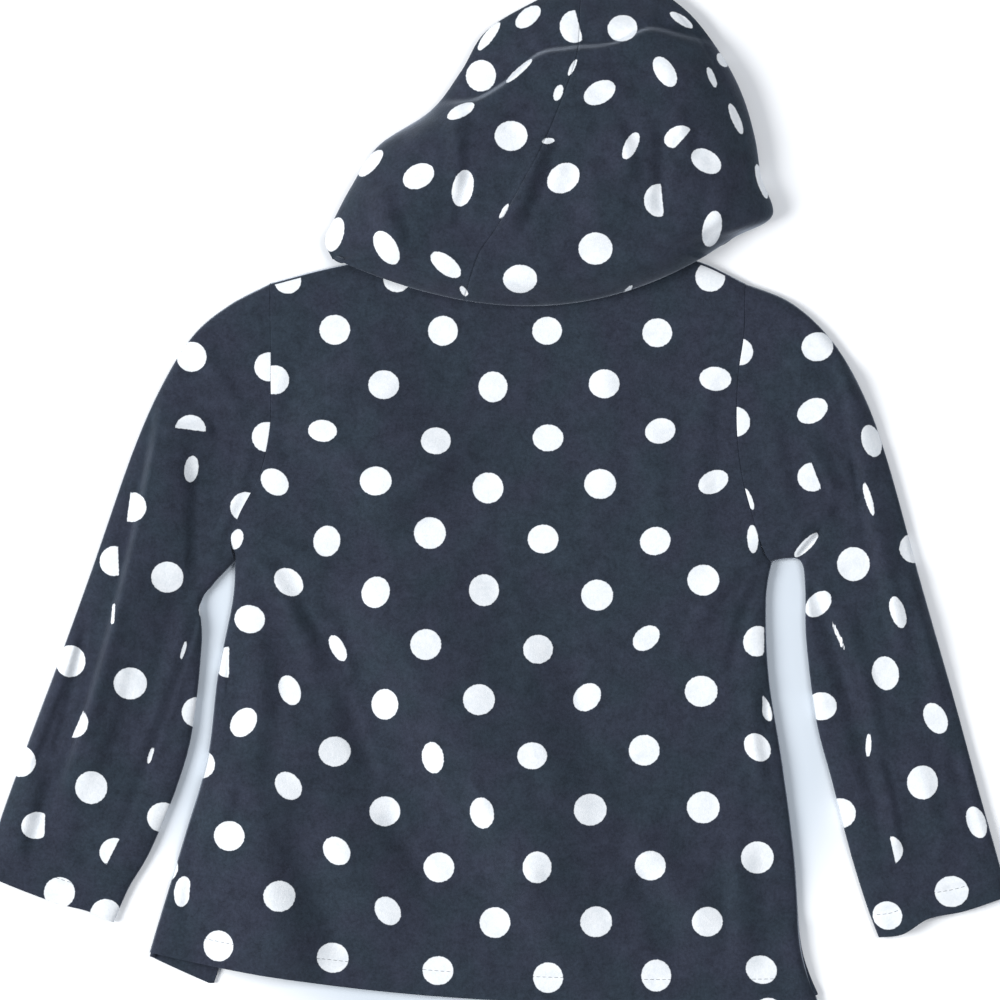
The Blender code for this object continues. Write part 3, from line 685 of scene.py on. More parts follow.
def front_hem_shift(x):
    """How far the front hem lies above the back hem; below it at the left corner."""
    left = BODY_ROWS[0].left_x
    to_tip = -mix(FRONT_EDGE_DROP, FRONT_TIP_DROP, (x - left) / (FRONT_TIP_X - left))
    past_tip = np.clip((x - FRONT_TIP_X) / FRONT_TIP_WIDTH, 0.0, 1.0)
    return np.where(x <= FRONT_TIP_X, to_tip, mix(-FRONT_TIP_DROP, FRONT_HEM_LIFT, past_tip))


BodyLines = namedtuple("BodyLines", "left_x left_y right_x right_y bow roll bend hem")


def body_lines(lower_rows, upper_rows):
    """Lines across the body: ends, bow, shares of side roll, shoulder bend and hem."""
    shares = np.arange(lower_rows) / lower_rows
    low = table_at(BODY_ROWS, shares)
    bottom = ARMHOLE[0].y
    top = ARMHOLE[-1].y
    y = bottom + (top - bottom) * np.arange(upper_rows + 1) / upper_rows
    heights = [point.y for point in ARMHOLE]
    zero = np.zeros(upper_rows + 1)
    high = (smooth_line(heights, [point.left_x for point in ARMHOLE], y), y,
            smooth_line(heights, [point.right_x for point in ARMHOLE], y), y, zero,
            1.0 - ease((y - bottom) / ARMPIT_BLEND),
            np.maximum(0.0, (y - YOKE_Y) / (top - YOKE_Y)), zero)
    ends = (*low, np.ones(lower_rows), np.zeros(lower_rows),
            1.0 - np.minimum(shares * 2.0, 1.0))
    return BodyLines(*(np.concatenate(pair)[:, None] for pair in zip(ends, high)))


def body_shape(upper, columns, lower_rows, upper_rows):
    """Points on a body panel's outer skin, and what its print needs of them."""
    lines = body_lines(lower_rows, upper_rows)
    share = gathered_shares(columns)[None, :]
    across = 2.0 * share - 1.0
    width = np.hypot(lines.right_x - lines.left_x, lines.right_y - lines.left_y)
    x = mix(lines.left_x, lines.right_x, share)
    y = mix(lines.left_y, lines.right_y, share)
    y = y + lines.bow * (1.0 - across * across) * (1.0 + BODY_BOW_SKEW * across)
    if not upper:
        y = y + front_hem_shift(x) * lines.hem ** 2
    closed = 1.0 - neck_share(x)
    top = line_y(SHOULDER, x)
    y = np.where(lines.bend > 0.0, mix(YOKE_Y, top, lines.bend), y)
    side = np.minimum(share, 1.0 - share) * width
    share_side = mix(1.0, rolled(side, TOP_ROLL if upper else LOW_ROLL), lines.roll)
    share_top = mix(1.0, rolled(np.maximum(top - y, 0.0), SHOULDER_ROLL), closed)
    level = share_side * share_top
    if not upper:
        z = mix(FOLD_LEVEL - SEAM_GAP / 2.0, 0.0, level)
        return np.stack([x, y, z], axis=-1), side, width
    from_hem = np.hypot(x - x[0], y - y[0])
    relief = fold_relief(BACK_FOLDS, x, y) + settling(x, y)
    relief = relief * (1.0 - ease((y - HOOD_COVER_Y) / HOOD_COVER_BLEND))
    relief = relief * mix(ease(side / SEAM_CALM), 1.0, lines.roll)
    relief = relief - STITCH_GROOVE * groove(from_hem - HEM_STITCH_INSET, STITCH_GROOVE_WIDTH)
    armhole = (1.0 - lines.roll) * groove(side, SEAM_DIP_WIDTH)
    relief = relief - SEAM_DIP * armhole
    z = mix(FOLD_LEVEL + SEAM_GAP / 2.0, LAID_HEIGHT + relief, level)
    return np.stack([x, y, z], axis=-1), side, width


def sleeve_plan(table, seam_x, row_share, share):
    """Places on the plan of a sleeve, share 0 on its outer edge and 1 on its inner."""
    row = table_at(table, row_share)
    x = mix(row.outer_x, row.inner_x, share)
    y = mix(row.outer_y, row.inner_y, share)
    seam = table_at(ARMHOLE, 1.0 - np.arccos(1.0 - 2.0 * share) / pi)
    start = table[0]
    fade = np.maximum(0.0, 1.0 - row_share / ARMHOLE_INFLUENCE) ** 2
    x = x + (seam_x(seam) - mix(start.outer_x, start.inner_x, share)) * fade
    y = y + (seam.y - mix(start.outer_y, start.inner_y, share)) * fade
    return x, y


SleeveShape = namedtuple("SleeveShape", "points mirror_x mirror_y along across width upper")


def sleeve_shape(table, seam_x, folds, cuff_wave):
    """Rings of points round a sleeve, from its armhole to its cuff."""
    rows = np.arange(SLEEVE_ROWS_MADE + 1)[:, None] / SLEEVE_ROWS_MADE
    top = gathered_shares(SLEEVE_TOP_COLUMNS)
    low = gathered_shares(SLEEVE_LOW_COLUMNS)[-2:0:-1]
    share = np.concatenate([top, low])[None, :]
    upper = np.arange(share.size)[None, :] < top.size
    x, y = sleeve_plan(table, seam_x, rows, share)
    outer_x, outer_y = sleeve_plan(table, seam_x, rows, np.zeros((1, 1)))
    inner_x, inner_y = sleeve_plan(table, seam_x, rows, np.ones((1, 1)))
    width = np.hypot(inner_x - outer_x, inner_y - outer_y)
    in_x = (inner_x - outer_x) / width
    in_y = (inner_y - outer_y) / width
    near = np.where(share < 0.5, share, share - 1.0)
    mirror = 2.0 * near * width * ~upper
    step = np.hypot(np.diff(x, axis=0), np.diff(y, axis=0))
    along = np.vstack([np.zeros((1, share.size)), np.cumsum(step, axis=0)])
    to_cuff = along[-1] - along
    wave = smooth_line([p.x for p in cuff_wave], [p.y for p in cuff_wave], share)
    end_x = x[-1] - x[-1 - CUFF_RUN]
    end_y = y[-1] - y[-1 - CUFF_RUN]
    length = np.hypot(end_x, end_y)
    reach = wave * ease(1.0 - to_cuff / CUFF_WAVE_REACH)
    x = x + reach * end_x / length
    y = y + reach * end_y / length
    relief = fold_relief(folds, x, y) + settling(x, y, SLEEVE_SETTLING_SHIFT)
    relief = relief * ease(along / SEAM_CALM)
    relief = relief - SEAM_DIP * groove(along, SEAM_DIP_WIDTH)
    relief = relief - STITCH_GROOVE * groove(to_cuff - CUFF_STITCH_INSET, STITCH_GROOVE_WIDTH)
    side = np.abs(near) * width
    z = np.where(upper,
                 mix(FOLD_LEVEL, LAID_HEIGHT + relief, rolled(side, TOP_ROLL)),
                 mix(FOLD_LEVEL, 0.0, rolled(side, LOW_ROLL)))
    return SleeveShape(np.stack([x, y, z], axis=-1), x - mirror * in_x, y - mirror * in_y,
                       along, share * width, width, upper)


def hood_base(x, y):
    """Level under the hood: the back panel, and past the shoulders the floor."""
    past = y - line_y(SHOULDER, x) - HOOD_STEP_START
    beside = np.maximum(np.maximum(SHOULDER[0].x - x, x - SHOULDER[-1].x), 0.0)
    return HOOD_ON_BACK * (1.0 - ease((past + beside) / (HOOD_STEP_END - HOOD_STEP_START)))


def hood_plan(row_share, share, side):
    """Places on the plan of a hood half, share 0 on the seam and 1 on the outline."""
    row = table_at(HOOD_ROWS, row_share)
    edge_x = row.left_x if side < 0 else row.right_x
    x = mix(row.seam_x + side * SEAM_GAP / 2.0, edge_x, share)
    along = (x - row.left_x) / (row.right_x - row.left_x)
    across = 2.0 * along - 1.0
    sag = row.bow * (1.0 - across * across) * (1.0 + HOOD_BOW_SKEW * across)
    return x, mix(row.left_y, row.right_y, along) + sag


def hood_under_plan(row_share, share, side):
    """Places on the plan of the hood's under layer, in the same rows."""
    steps = edge_shares(HOOD_TABLE_STEPS)
    shift_x = np.zeros((len(steps), share.size))
    shift_y = np.zeros((len(steps), share.size))
    for number, step in enumerate(steps):
        step = np.full((1, 1), step)
        edge_x, edge_y = hood_plan(step, np.ones((1, 1)), side)
        if number in (0, HOOD_TABLE_STEPS):
            x, y = hood_plan(step, share, side)
        else:
            neck_row = len(UNDER_ROWS)
            lip = UNDER_ROWS[number].lip if number < neck_row else FACE_EDGE[number - neck_row]
            reach = 1.0 - (1.0 - share) * lip
            x, y = hood_plan(step, reach, side)
            if number < neck_row:
                row = UNDER_ROWS[number]
                start = np.zeros((1, 1))
                fold_y = hood_plan(start, reach, side)[1]
                corner_x = hood_plan(start, np.ones((1, 1)), side)[0]
                beyond = np.maximum(0.0, side * (x - corner_x))
                under_y = mix(fold_y, np.maximum(line_y(SHOULDER, x), fold_y), row.to_neck)
                under_y = under_y + row.past_neck + HOOD_CORNER_RISE * beyond
                y = mix(y, under_y, ease(np.abs(x - edge_x) / HOOD_EDGE_BLEND))
        if number > 0:
            y = np.maximum(y, below + HOOD_ROW_ORDER)
        below = y
        shift_x[number] = (x - edge_x)[0]
        shift_y[number] = (y - edge_y)[0]
    place = np.arange(row_share.size) / (row_share.size - 1) * HOOD_TABLE_STEPS
    index = np.minimum(place.astype(int), HOOD_TABLE_STEPS - 1)
    t = (place - index)[:, None]
    edge_x, edge_y = hood_plan(row_share, np.ones((1, 1)), side)
    return (edge_x + mix(shift_x[index], shift_x[index + 1], t),
            edge_y + mix(shift_y[index], shift_y[index + 1], t))


HoodShape = namedtuple("HoodShape", "points mirror_x upper")


def hood_shape(side):
    """Rows of points round a hood half: seam, outline, and back under to the lip."""
    row_share = edge_shares(HOOD_ROWS_MADE)[:, None]
    top = np.sin(0.5 * pi * np.arange(HOOD_TOP_COLUMNS + 1) / HOOD_TOP_COLUMNS)
    low = np.sin(0.5 * pi * np.arange(HOOD_LOW_COLUMNS) / HOOD_LOW_COLUMNS)[::-1]
    share = np.concatenate([top, low])[None, :]
    upper = np.arange(share.size)[None, :] < top.size
    top_x, top_y = hood_plan(row_share, top[None, :], side)
    low_x, low_y = hood_under_plan(row_share, low[None, :], side)
    x = np.hstack([top_x, low_x])
    y = np.hstack([top_y, low_y])
    edge_x, edge_y = hood_plan(row_share, np.ones((1, 1)), side)
    bottom_x, bottom_y = hood_plan(np.zeros((1, 1)), share, side)
    crown_x, crown_y = hood_plan(np.ones((1, 1)), share, side)
    ends = np.minimum(np.hypot(x - bottom_x, y - bottom_y), np.hypot(crown_x - x, crown_y - y))
    ends[[0, -1]] = 0.0
    sides = np.abs(edge_x - x)
    base = hood_base(x, y)
    relief = fold_relief(HOOD_FOLDS, x, y)
    relief = relief + HOOD_SETTLING * settling(x, y, HOOD_SETTLING_SHIFT)
    relief = relief - SEAM_DIP * groove(share * np.abs(edge_x - top_x[:, :1]), SEAM_DIP_WIDTH)
    height = table_at(HOOD_ROWS, row_share).height
    past_lobe = y - line_y(LOBE, x)
    lobe = LOBE_STEP * ease(past_lobe / LOBE_WIDTH)
    lobe = lobe - LOBE_RIM * groove(past_lobe + LOBE_RIM_WIDTH / 2.0, LOBE_RIM_WIDTH)
    lobe = lobe + LOBE_RIM * groove(past_lobe - LOBE_WIDTH, LOBE_RIM_WIDTH)
    crown = (rolled(ends, HOOD_END_ROLL) * rolled(sides, HOOD_SIDE_ROLL)) ** HOOD_SLACK
    edge = rolled(ends, HOOD_LOW_ROLL) * rolled(sides, HOOD_LOW_ROLL)
    z = np.where(upper,
                 mix(base + HOOD_LEVEL, height - lobe + relief, crown),
                 mix(base + HOOD_LEVEL, base, edge))
    if side > 0:
        rim = groove(sides - HOOD_RIM_WIDTH, HOOD_RIM_LINE)
        rim = rim * ease((y - HOOD_RIM_START_Y) / HOOD_RIM_BLEND)
        z = z - np.where(upper, HOOD_RIM_GROOVE * rim, 0.0)
    mirror_x = np.where(upper, x, x + 2.0 * side * sides)
    return HoodShape(np.stack([x, y, z], axis=-1), mirror_x, upper)


def inset_line(rows, inset, columns):
    """Points of a skin at a distance in from its first row, short of both sides."""
    run = np.cumsum(np.linalg.norm(np.diff(rows, axis=0), axis=2), axis=0)
    return np.array([[np.interp(inset, run[:, column], rows[1:, column, axis]) for axis in range(3)]
                     for column in range(2, columns - 1)])


def stitch_line(name, line, settings):
    """Short, sunk stitches along a line of points on the cloth, as one mesh."""
    steps = np.linalg.norm(np.diff(line, axis=0), axis=1)
    run = np.concatenate([[0.0], np.cumsum(steps)])
    count = int((run[-1] - STITCH_LENGTH) / STITCH_SPACING)
    mesh = bmesh.new()
    for number in range(count):
        middle = (number + STITCH_START) * STITCH_SPACING
        ends = [Vector([float(np.interp(middle + half, run, line[:, axis])) for axis in range(3)])
                for half in (-STITCH_LENGTH / 2.0, STITCH_LENGTH / 2.0)]
        along = ends[1] - ends[0]
        up = Vector((0.0, 0.0, 1.0))
        across = along.cross(up).normalized()
        up = across.cross(along).normalized()
        rings = []
        for row in STITCH_RINGS:
            centre = ends[0].lerp(ends[1], row.place + 0.5) + up * row.rise * STITCH_THICKNESS / 2.0
            if row.size == 0.0:
                rings.append([mesh.verts.new(centre * MM)])
                continue
            turn = 2.0 * pi / STITCH_SIDES
            rings.append([mesh.verts.new((centre + (across * cos(turn * k) + up * sin(turn * k))
                                          * row.size * STITCH_THICKNESS / 2.0) * MM)
                          for k in range(STITCH_SIDES)])
        for ring, following in zip(rings, rings[1:]):
            for k in range(STITCH_SIDES):
                corners = [ring[k % len(ring)], ring[(k + 1) % len(ring)],
                           following[(k + 1) % len(following)], following[k % len(following)]]
                mesh.faces.new(list(dict.fromkeys(corners)))
    bmesh.ops.recalc_face_normals(mesh, faces=mesh.faces)
    data = bpy.data.meshes.new(name)
    mesh.to_mesh(data)
    mesh.free()
    data.shade_smooth()
    data.materials.append(sewing_thread(settings))
    piece = bpy.data.objects.new(name, data)
    bpy.context.scene.collection.objects.link(piece)
    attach(piece, "root")
    return piece


def linear(hex_colour):
    """Linear colour of an sRGB hex value."""
    parts = [int(hex_colour[place:place + 2], 16) / 255.0 for place in (1, 3, 5)]
    return tuple(part / 12.92 if part <= 0.04045 else ((part + 0.055) / 1.055) ** 2.4
                 for part in parts)


def add_node(tree, kind, settings=None, inputs=None):
    """Add a node with its settings, and its inputs given as values or as other nodes' outputs."""
    node = tree.nodes.new(kind)
    for name, value in (settings or {}).items():
        setattr(node, name, value)
    for name, value in (inputs or {}).items():
        if isinstance(value, bpy.types.NodeSocket):
            tree.links.new(value, node.inputs[name])
        else:
            node.inputs[name].default_value = value
    return node


def material_tree(name):
    """A new material's node tree with only its output, and the output node."""
    material = bpy.data.materials.new(name)
    material.use_nodes = True
    tree = material.node_tree
    tree.nodes.clear()
    return material, tree, add_node(tree, "ShaderNodeOutputMaterial")


# Sizes of the fleece's texture, in millimetres.
NAP_TUFT = 1.5           # a tuft of the brushed pile
NAP_FIBRE = 0.5          # drawn as coarse as the render can show
NAP_DEPTH = 0.35
PILLING = 6.5            # soft clumps that the pile forms in use
PRINT_EDGE = 0.24        # half the width over which a dot's edge is uneven
DYE_PATCH = 24.0         # the navy ground leans to violet or to teal in patches
DYE_VIOLET = (1.06, 0.98, 1.03, 1.0)
DYE_TEAL = (0.93, 1.02, 0.98, 1.0)


def printed_fleece(settings):
    """Polyester fleece, brushed and then printed.

    The pile gives a dull, soft surface, finely mottled, with darker copies of its colours
    painted into the hollows of its bump as shade; it pales where it is seen along the cloth,
    and the printed dots have a slightly woolly edge.
    """
    name = "Printed_polyester_fleece_brushed"
    if name in bpy.data.materials:
        return bpy.data.materials[name]
    material, tree, output = material_tree(name)
    place = add_node(tree, "ShaderNodeTexCoord").outputs["Object"]
    tuft = add_node(tree, "ShaderNodeTexNoise", inputs={
        "Vector": place, "Scale": 1.0 / (NAP_TUFT * MM), "Detail": 3.0, "Roughness": 0.65})
    fibre = add_node(tree, "ShaderNodeTexNoise", inputs={
        "Vector": place, "Scale": 1.0 / (NAP_FIBRE * MM), "Detail": 1.0, "Roughness": 0.5})
    clump = add_node(tree, "ShaderNodeTexNoise", inputs={
        "Vector": place, "Scale": 1.0 / (PILLING * MM), "Detail": 2.0, "Roughness": 0.5,
        "Distortion": 0.4})
    nap = add_node(tree, "ShaderNodeMix", {"data_type": "FLOAT"}, {
        "Factor": 0.35, "A": tuft.outputs["Fac"], "B": fibre.outputs["Fac"]})
    mottle = add_node(tree, "ShaderNodeMix", {"data_type": "FLOAT"}, {
        "Factor": 0.3, "A": nap.outputs["Result"], "B": clump.outputs["Fac"]})
    # partly random mottle, partly painted shade: the noise that raises the pile's bump also puts the
    # darker ground and dot colours in its hollows
    pile_mottle_shade = add_node(tree, "ShaderNodeMapRange", inputs={
        "Value": mottle.outputs["Result"], "From Min": 0.36, "From Max": 0.64})
    ground = add_node(tree, "ShaderNodeMix", {"data_type": "RGBA"}, {
        "Factor": pile_mottle_shade.outputs["Result"],
        "A": (*settings.ground_mottle_shade, 1.0), "B": (*settings.ground_light, 1.0)})
    patch = add_node(tree, "ShaderNodeTexNoise", inputs={
        "Vector": place, "Scale": 1.0 / (DYE_PATCH * MM), "Detail": 1.0})
    spread = add_node(tree, "ShaderNodeMapRange", inputs={
        "Value": patch.outputs["Fac"], "From Min": 0.35, "From Max": 0.65})
    dye = add_node(tree, "ShaderNodeMix", {"data_type": "RGBA"}, {
        "Factor": spread.outputs["Result"], "A": DYE_VIOLET, "B": DYE_TEAL})
    ground = add_node(tree, "ShaderNodeMix", {"data_type": "RGBA", "blend_type": "MULTIPLY"}, {
        "Factor": 1.0, "A": ground.outputs["Result"], "B": dye.outputs["Result"]})
    dots = add_node(tree, "ShaderNodeMix", {"data_type": "RGBA"}, {
        "Factor": pile_mottle_shade.outputs["Result"],
        "A": (*settings.dot_shade, 1.0), "B": (*settings.dot_colour, 1.0)})
    depth = add_node(tree, "ShaderNodeAttribute", {"attribute_name": "dot_depth"})
    uneven = add_node(tree, "ShaderNodeMath", {"operation": "MULTIPLY_ADD"}, {
        0: tuft.outputs["Fac"], 1: 3.0 * PRINT_EDGE, 2: -1.8 * PRINT_EDGE})
    edge = add_node(tree, "ShaderNodeMath", {"operation": "ADD"}, {
        0: depth.outputs["Fac"], 1: uneven.outputs["Value"]})
    printed = add_node(tree, "ShaderNodeMapRange", {"interpolation_type": "SMOOTHSTEP"}, {
        "Value": edge.outputs["Value"], "From Min": -PRINT_EDGE, "From Max": PRINT_EDGE})
    colour = add_node(tree, "ShaderNodeMix", {"data_type": "RGBA"}, {
        "Factor": printed.outputs["Result"],
        "A": ground.outputs["Result"], "B": dots.outputs["Result"]})
    pile = add_node(tree, "ShaderNodeBump", inputs={
        "Strength": 0.7, "Distance": NAP_DEPTH * MM, "Height": mottle.outputs["Result"]})
    shader = add_node(tree, "ShaderNodeBsdfPrincipled", inputs={
        "Base Color": colour.outputs["Result"], "Normal": pile.outputs["Normal"],
        "Roughness": 0.95, "Metallic": 0.0, "IOR": 1.5, "Specular IOR Level": 0.15,
        "Sheen Weight": 0.9, "Sheen Roughness": 0.35,
        "Sheen Tint": (*settings.sheen_colour, 1.0)})
    tree.links.new(shader.outputs["BSDF"], output.inputs["Surface"])
    return material


def sewing_thread(settings):
    """Spun polyester sewing thread: dull and dark, with the faint ribs of its twist."""
    name = "Polyester_sewing_thread_spun"
    if name in bpy.data.materials:
        return bpy.data.materials[name]
    material, tree, output = material_tree(name)
    place = add_node(tree, "ShaderNodeTexCoord").outputs["Object"]
    twist = add_node(tree, "ShaderNodeTexWave", {"bands_direction": "DIAGONAL"}, {
        "Vector": place, "Scale": 1.0 / (3.0 * STITCH_THICKNESS * MM), "Distortion": 1.5})
    colour = add_node(tree, "ShaderNodeMix", {"data_type": "RGBA"}, {
        "Factor": twist.outputs["Fac"],
        "A": (*settings.thread_colour, 1.0), "B": (*settings.ground_light, 1.0)})
    ribs = add_node(tree, "ShaderNodeBump", inputs={
        "Strength": 0.4, "Distance": 0.05 * MM, "Height": twist.outputs["Fac"]})
    shader = add_node(tree, "ShaderNodeBsdfPrincipled", inputs={
        "Base Color": colour.outputs["Result"], "Normal": ribs.outputs["Normal"],
        "Roughness": 0.7, "Metallic": 0.0, "IOR": 1.5, "Specular IOR Level": 0.3})
    tree.links.new(shader.outputs["BSDF"], output.inputs["Surface"])
    return material


# The paper's painted shade, a bluer patch that stands in for the garment's soft shadow,
# is an ellipse round the body, given by how it is brought back to a unit circle: its
# shift, then one over its radii in metres.
PAINTED_SHADE_PLACE = (0.0, 0.35, 0.0)
PAINTED_SHADE_SCALE = (1.0 / 0.19, 1.0 / 0.215, 0.0)
PAINTED_SHADE_FADE = (0.86, 1.12)         # from all of the painted shade to none, in radii
PAPER_GRAIN = 2.5                # millimetres
PAPER_GRAIN_DEPTH = 0.02


def studio_floor(settings):
    """Matt white paper with a trace of its grain, and a bluer painted shade round the body."""
    material, tree, output = material_tree("White_background_paper_matt")
    place = add_node(tree, "ShaderNodeTexCoord").outputs["Object"]
    grain = add_node(tree, "ShaderNodeTexNoise", inputs={
        "Vector": place, "Scale": 1.0 / (PAPER_GRAIN * MM), "Detail": 2.0})
    relief = add_node(tree, "ShaderNodeBump", inputs={
        "Strength": 0.05, "Distance": PAPER_GRAIN_DEPTH * MM, "Height": grain.outputs["Fac"]})
    painted_shade_spot = add_node(tree, "ShaderNodeMapping", inputs={
        "Vector": place, "Location": PAINTED_SHADE_PLACE, "Scale": PAINTED_SHADE_SCALE})
    away = add_node(tree, "ShaderNodeVectorMath", {"operation": "LENGTH"}, {
        0: painted_shade_spot.outputs["Vector"]})
    fade = add_node(tree, "ShaderNodeMapRange", {"interpolation_type": "SMOOTHSTEP"}, {
        "Value": away.outputs["Value"], "From Min": PAINTED_SHADE_FADE[0], "From Max": PAINTED_SHADE_FADE[1]})
    # painted shade: inside the ellipse round the body the paper turns to the bluer shade colour
    colour = add_node(tree, "ShaderNodeMix", {"data_type": "RGBA"}, {
        "Factor": fade.outputs["Result"],
        "A": (*settings.floor_painted_shade, 1.0), "B": (*settings.floor_colour, 1.0)})
    shader = add_node(tree, "ShaderNodeBsdfPrincipled", inputs={
        "Base Color": colour.outputs["Result"], "Normal": relief.outputs["Normal"],
        "Roughness": 0.95, "Metallic": 0.0, "IOR": 1.5, "Specular IOR Level": 0.1})
    tree.links.new(shader.outputs["BSDF"], output.inputs["Surface"])
    return material


def colour_setting(name, description, hex_colour):
    return bpy.props.FloatVectorProperty(
        name=name, description=description, default=linear(hex_colour), min=0.0, max=1.0,
        subtype="COLOR")


class HoodieCloth(bpy.types.PropertyGroup):
    """Sizes and colours of the hoodie's cloth."""

    cloth_thickness: bpy.props.FloatProperty(
        name="Cloth thickness", description="Thickness of the fleece",
        default=0.0019, min=0.001, max=0.003, unit="LENGTH")
    # The darker ground and dot colours are partly random mottle, partly painted shade in the hollows
    # of the pile.
    ground_mottle_shade: colour_setting("Ground, dark", "Hollows of the ground's pile", "#21262F")
    ground_light: colour_setting("Ground, light", "Tips of the ground's pile", "#303743")
    dot_colour: colour_setting("Dots", "Tips of the pile in the printed dots", "#E3E5E7")
    dot_shade: colour_setting("Dots, shaded", "Hollows of the pile in the printed dots", "#D2D7DB")
    sheen_colour: colour_setting("Sheen", "Tint of the pile seen along the cloth", "#C9D3E2")
    thread_colour: colour_setting("Thread", "Colour of the sewing thread", "#1C222C")


class HoodieStage(bpy.types.PropertyGroup):
    """The floor, the lights and the camera."""

    floor_size: bpy.props.FloatProperty(
        name="Floor size", description="Length of the floor's sides",
        default=16.0, min=2.0, unit="LENGTH")
    floor_colour: colour_setting("Floor", "Colour of the background paper", "#F8F9FA")
    # painted shade: the bluer paper round the body stands in for the garment's soft shadow
    floor_painted_shade: colour_setting("Floor, tinted", "Colour of the paper round the body", "#C6CED6")
    camera_height: bpy.props.FloatProperty(
        name="Camera height", description="Height of the camera over the floor",
        default=5.0, min=1.0, unit="LENGTH")
    view_width: bpy.props.FloatProperty(
        name="View width", description="Width of the floor that the camera sees",
        default=0.5, min=0.1, unit="LENGTH")
    key_power: bpy.props.FloatProperty(
        name="Key light", description="Power of the large soft light, in watts",
        default=140.0, min=0.0, subtype="POWER")
    side_power: bpy.props.FloatProperty(
        name="Side light", description="Power of the weaker light from the right, in watts",
        default=38.0, min=0.0, subtype="POWER")
    sky_strength: bpy.props.FloatProperty(
        name="Fill", description="Strength of the even light from all round",
        default=0.32, min=0.0, subtype="FACTOR")
    sky_colour: colour_setting("Fill colour", "Colour of the even light from all round", "#E8F1FF")


# The lights' places and sizes in metres, and the camera's sensor in millimetres.
KEY_PLACE = (-2.6, -0.25, 2.05)  # over the garment and to its left
KEY_SIZE = 1.9
SIDE_PLACE = (1.3, 0.3, 2.6)     # a weaker light from high on the right
SIDE_SIZE = 1.4
SENSOR_WIDTH = 36.0


def declare(piece, node):
    """Hang a piece of cloth on the root and hide the model's part that it stands for."""
    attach(piece, "root")
    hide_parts(node)


class HOODIE_OT_body(bpy.types.Operator):
    """Lay the front panel on the floor and the back panel on it"""

    bl_idname = "hoodie.body"
    bl_label = "Body"

    def execute(self, context):
        settings = context.scene.hoodie_cloth
        points, side, width = body_shape(False, FRONT_COLUMNS, FRONT_LOWER_ROWS, FRONT_UPPER_ROWS)
        x = points[..., 0]
        y = points[..., 1]
        middle = (x[:, :1] + x[:, -1:]) / 2.0
        outwards = np.sign(x - middle)
        depth = np.maximum(dot_depth(BACK_DOTS + SIDE_DOTS, x + 2.0 * outwards * side, y),
                           even_dots(y, x - x[:, :1], width))
        front = cloth_piece("front_panel_cloth", points, depth, settings, flip=True)
        declare(front, "front_panel")

        points, side, width = body_shape(True, BODY_COLUMNS, BODY_LOWER_ROWS, BODY_UPPER_ROWS)
        depth = dot_depth(BACK_DOTS + SIDE_DOTS, points[..., 0], points[..., 1])
        back = cloth_piece("back_panel_cloth", points, depth, settings)
        line = inset_line(points[:BODY_LOWER_ROWS // 4], HEM_STITCH_INSET, BODY_COLUMNS)
        stitches = stitch_line("hem_stitches", line, settings)
        declare(back, "back_panel")
        return {"FINISHED"}


class HOODIE_OT_sleeves(bpy.types.Operator):
    """Lay a flattened sleeve beside the body on either side"""

    bl_idname = "hoodie.sleeves"
    bl_label = "Sleeves"

    def execute(self, context):
        settings = context.scene.hoodie_cloth
        sides = (
            ("left", LEFT_SLEEVE, lambda seam: seam.left_x - SEAM_GAP,
             LEFT_SLEEVE_FOLDS, LEFT_CUFF_WAVE, LEFT_SLEEVE_DOTS, 0.0405),
            ("right", RIGHT_SLEEVE, lambda seam: seam.right_x + SEAM_GAP,
             RIGHT_SLEEVE_FOLDS, RIGHT_CUFF_WAVE, RIGHT_SLEEVE_DOTS, 0.0412),
        )
        for name, table, seam_x, folds, cuff_wave, dots, area in sides:
            shape = sleeve_shape(table, seam_x, folds, cuff_wave)
            depth = dot_depth(dots, shape.mirror_x, shape.mirror_y)
            under = even_dots(shape.along, shape.across, shape.width)
            depth = np.where(shape.upper, depth, np.maximum(depth, under))
            sleeve = cloth_piece(name + "_sleeve_cloth", shape.points, depth, settings,
                                 ring=True, flip=name == "left")
            line = inset_line(shape.points[::-1], CUFF_STITCH_INSET, SLEEVE_TOP_COLUMNS)
            stitches = stitch_line(name + "_cuff_stitches", line, settings)
            declare(sleeve, name + "_sleeve")
        return {"FINISHED"}


class HOODIE_OT_hood(bpy.types.Operator):
    """Stand the two halves of the hood on the face opening, over the neckline"""

    bl_idname = "hoodie.hood"
    bl_label = "Hood"

    def execute(self, context):
        settings = context.scene.hoodie_cloth
        sides = (("hood_left", -1, (0.17, 0.15), 0.0196), ("hood_right", 1, (0.215, 0.185), 0.0294))
        for name, side, flat, area in sides:
            shape = hood_shape(side)
            depth = dot_depth(HOOD_DOTS, shape.mirror_x, shape.points[..., 1])
            half = cloth_piece(name + "_cloth", shape.points, depth, settings, flip=side < 0)
            declare(half, name)
        return {"FINISHED"}


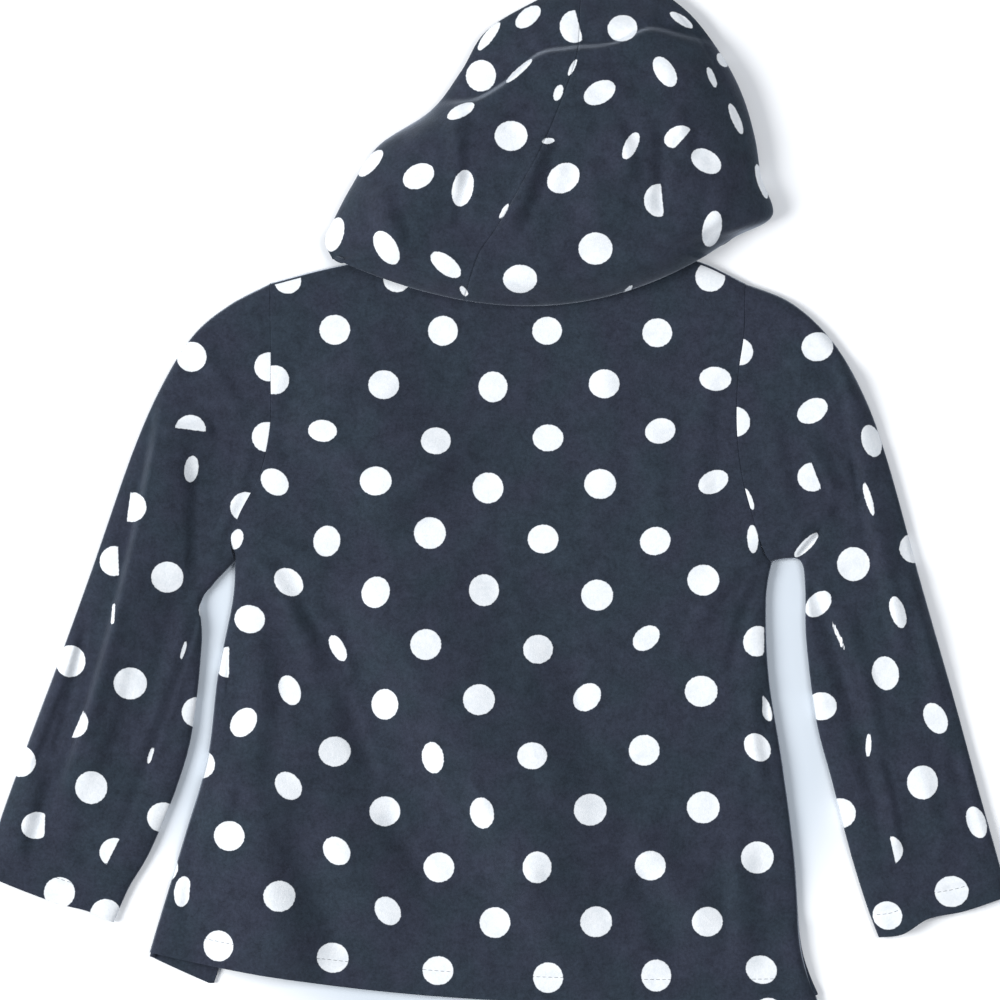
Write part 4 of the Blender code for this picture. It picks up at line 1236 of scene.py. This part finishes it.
class HOODIE_OT_stage(bpy.types.Operator):
    """Set up the pale floor, the two soft lights and the camera straight above"""

    bl_idname = "hoodie.stage"
    bl_label = "Stage"

    def execute(self, context):
        settings = context.scene.hoodie_stage
        bpy.ops.object.select_all(action="DESELECT")
        bpy.ops.mesh.primitive_plane_add(size=settings.floor_size)
        floor = context.object
        floor.name = "floor"
        floor.data.materials.append(studio_floor(settings))

        for name, place, size, power in (
            ("key_light", KEY_PLACE, KEY_SIZE, settings.key_power),
            ("side_light", SIDE_PLACE, SIDE_SIZE, settings.side_power),
        ):
            bpy.ops.object.light_add(type="AREA", location=place)
            light = context.object
            light.name = name
            light.rotation_euler = Vector(place).to_track_quat("Z", "Y").to_euler()
            light.data.shape = "DISK"
            light.data.size = size
            light.data.energy = power

        world = bpy.data.worlds.new("soft_fill")
        world.use_nodes = True
        world.node_tree.nodes.clear()
        sky = add_node(world.node_tree, "ShaderNodeBackground", inputs={
            "Color": (*settings.sky_colour, 1.0), "Strength": settings.sky_strength})
        add_node(world.node_tree, "ShaderNodeOutputWorld",
                 inputs={"Surface": sky.outputs["Background"]})
        context.scene.world = world
        context.scene.view_settings.view_transform = "Standard"

        bpy.ops.object.camera_add(location=(0.0, 0.0, settings.camera_height),
                                  rotation=(0.0, 0.0, 0.0))
        camera = context.object
        camera.name = "camera"
        camera.data.sensor_width = SENSOR_WIDTH
        camera.data.lens = SENSOR_WIDTH * settings.camera_height / settings.view_width
        context.scene.camera = camera
        return {"FINISHED"}


class HOODIE_PT_panel(bpy.types.Panel):
    """Sizes, colours and build steps of the hoodie"""

    bl_idname = "HOODIE_PT_panel"
    bl_label = "Baby fleece hoodie"
    bl_space_type = "VIEW_3D"
    bl_region_type = "UI"
    bl_category = "Hoodie"

    def draw(self, context):
        for group in (context.scene.hoodie_cloth, context.scene.hoodie_stage):
            for name in group.__annotations__:
                self.layout.prop(group, name)
        for step in STEPS:
            self.layout.operator(step.bl_idname)


STEPS = (HOODIE_OT_body, HOODIE_OT_sleeves, HOODIE_OT_hood, HOODIE_OT_stage)
CLASSES = (HoodieCloth, HoodieStage, *STEPS, HOODIE_PT_panel)


def register():
    for item in CLASSES:
        bpy.utils.register_class(item)
    bpy.types.Scene.hoodie_cloth = bpy.props.PointerProperty(type=HoodieCloth)
    bpy.types.Scene.hoodie_stage = bpy.props.PointerProperty(type=HoodieStage)


def unregister():
    del bpy.types.Scene.hoodie_stage
    del bpy.types.Scene.hoodie_cloth
    for item in reversed(CLASSES):
        bpy.utils.unregister_class(item)


def main():
    register()
    bpy.ops.hoodie.stage()
    bpy.ops.hoodie.body()
    bpy.ops.hoodie.sleeves()
    bpy.ops.hoodie.hood()


if __name__ == "__main__":
    main()
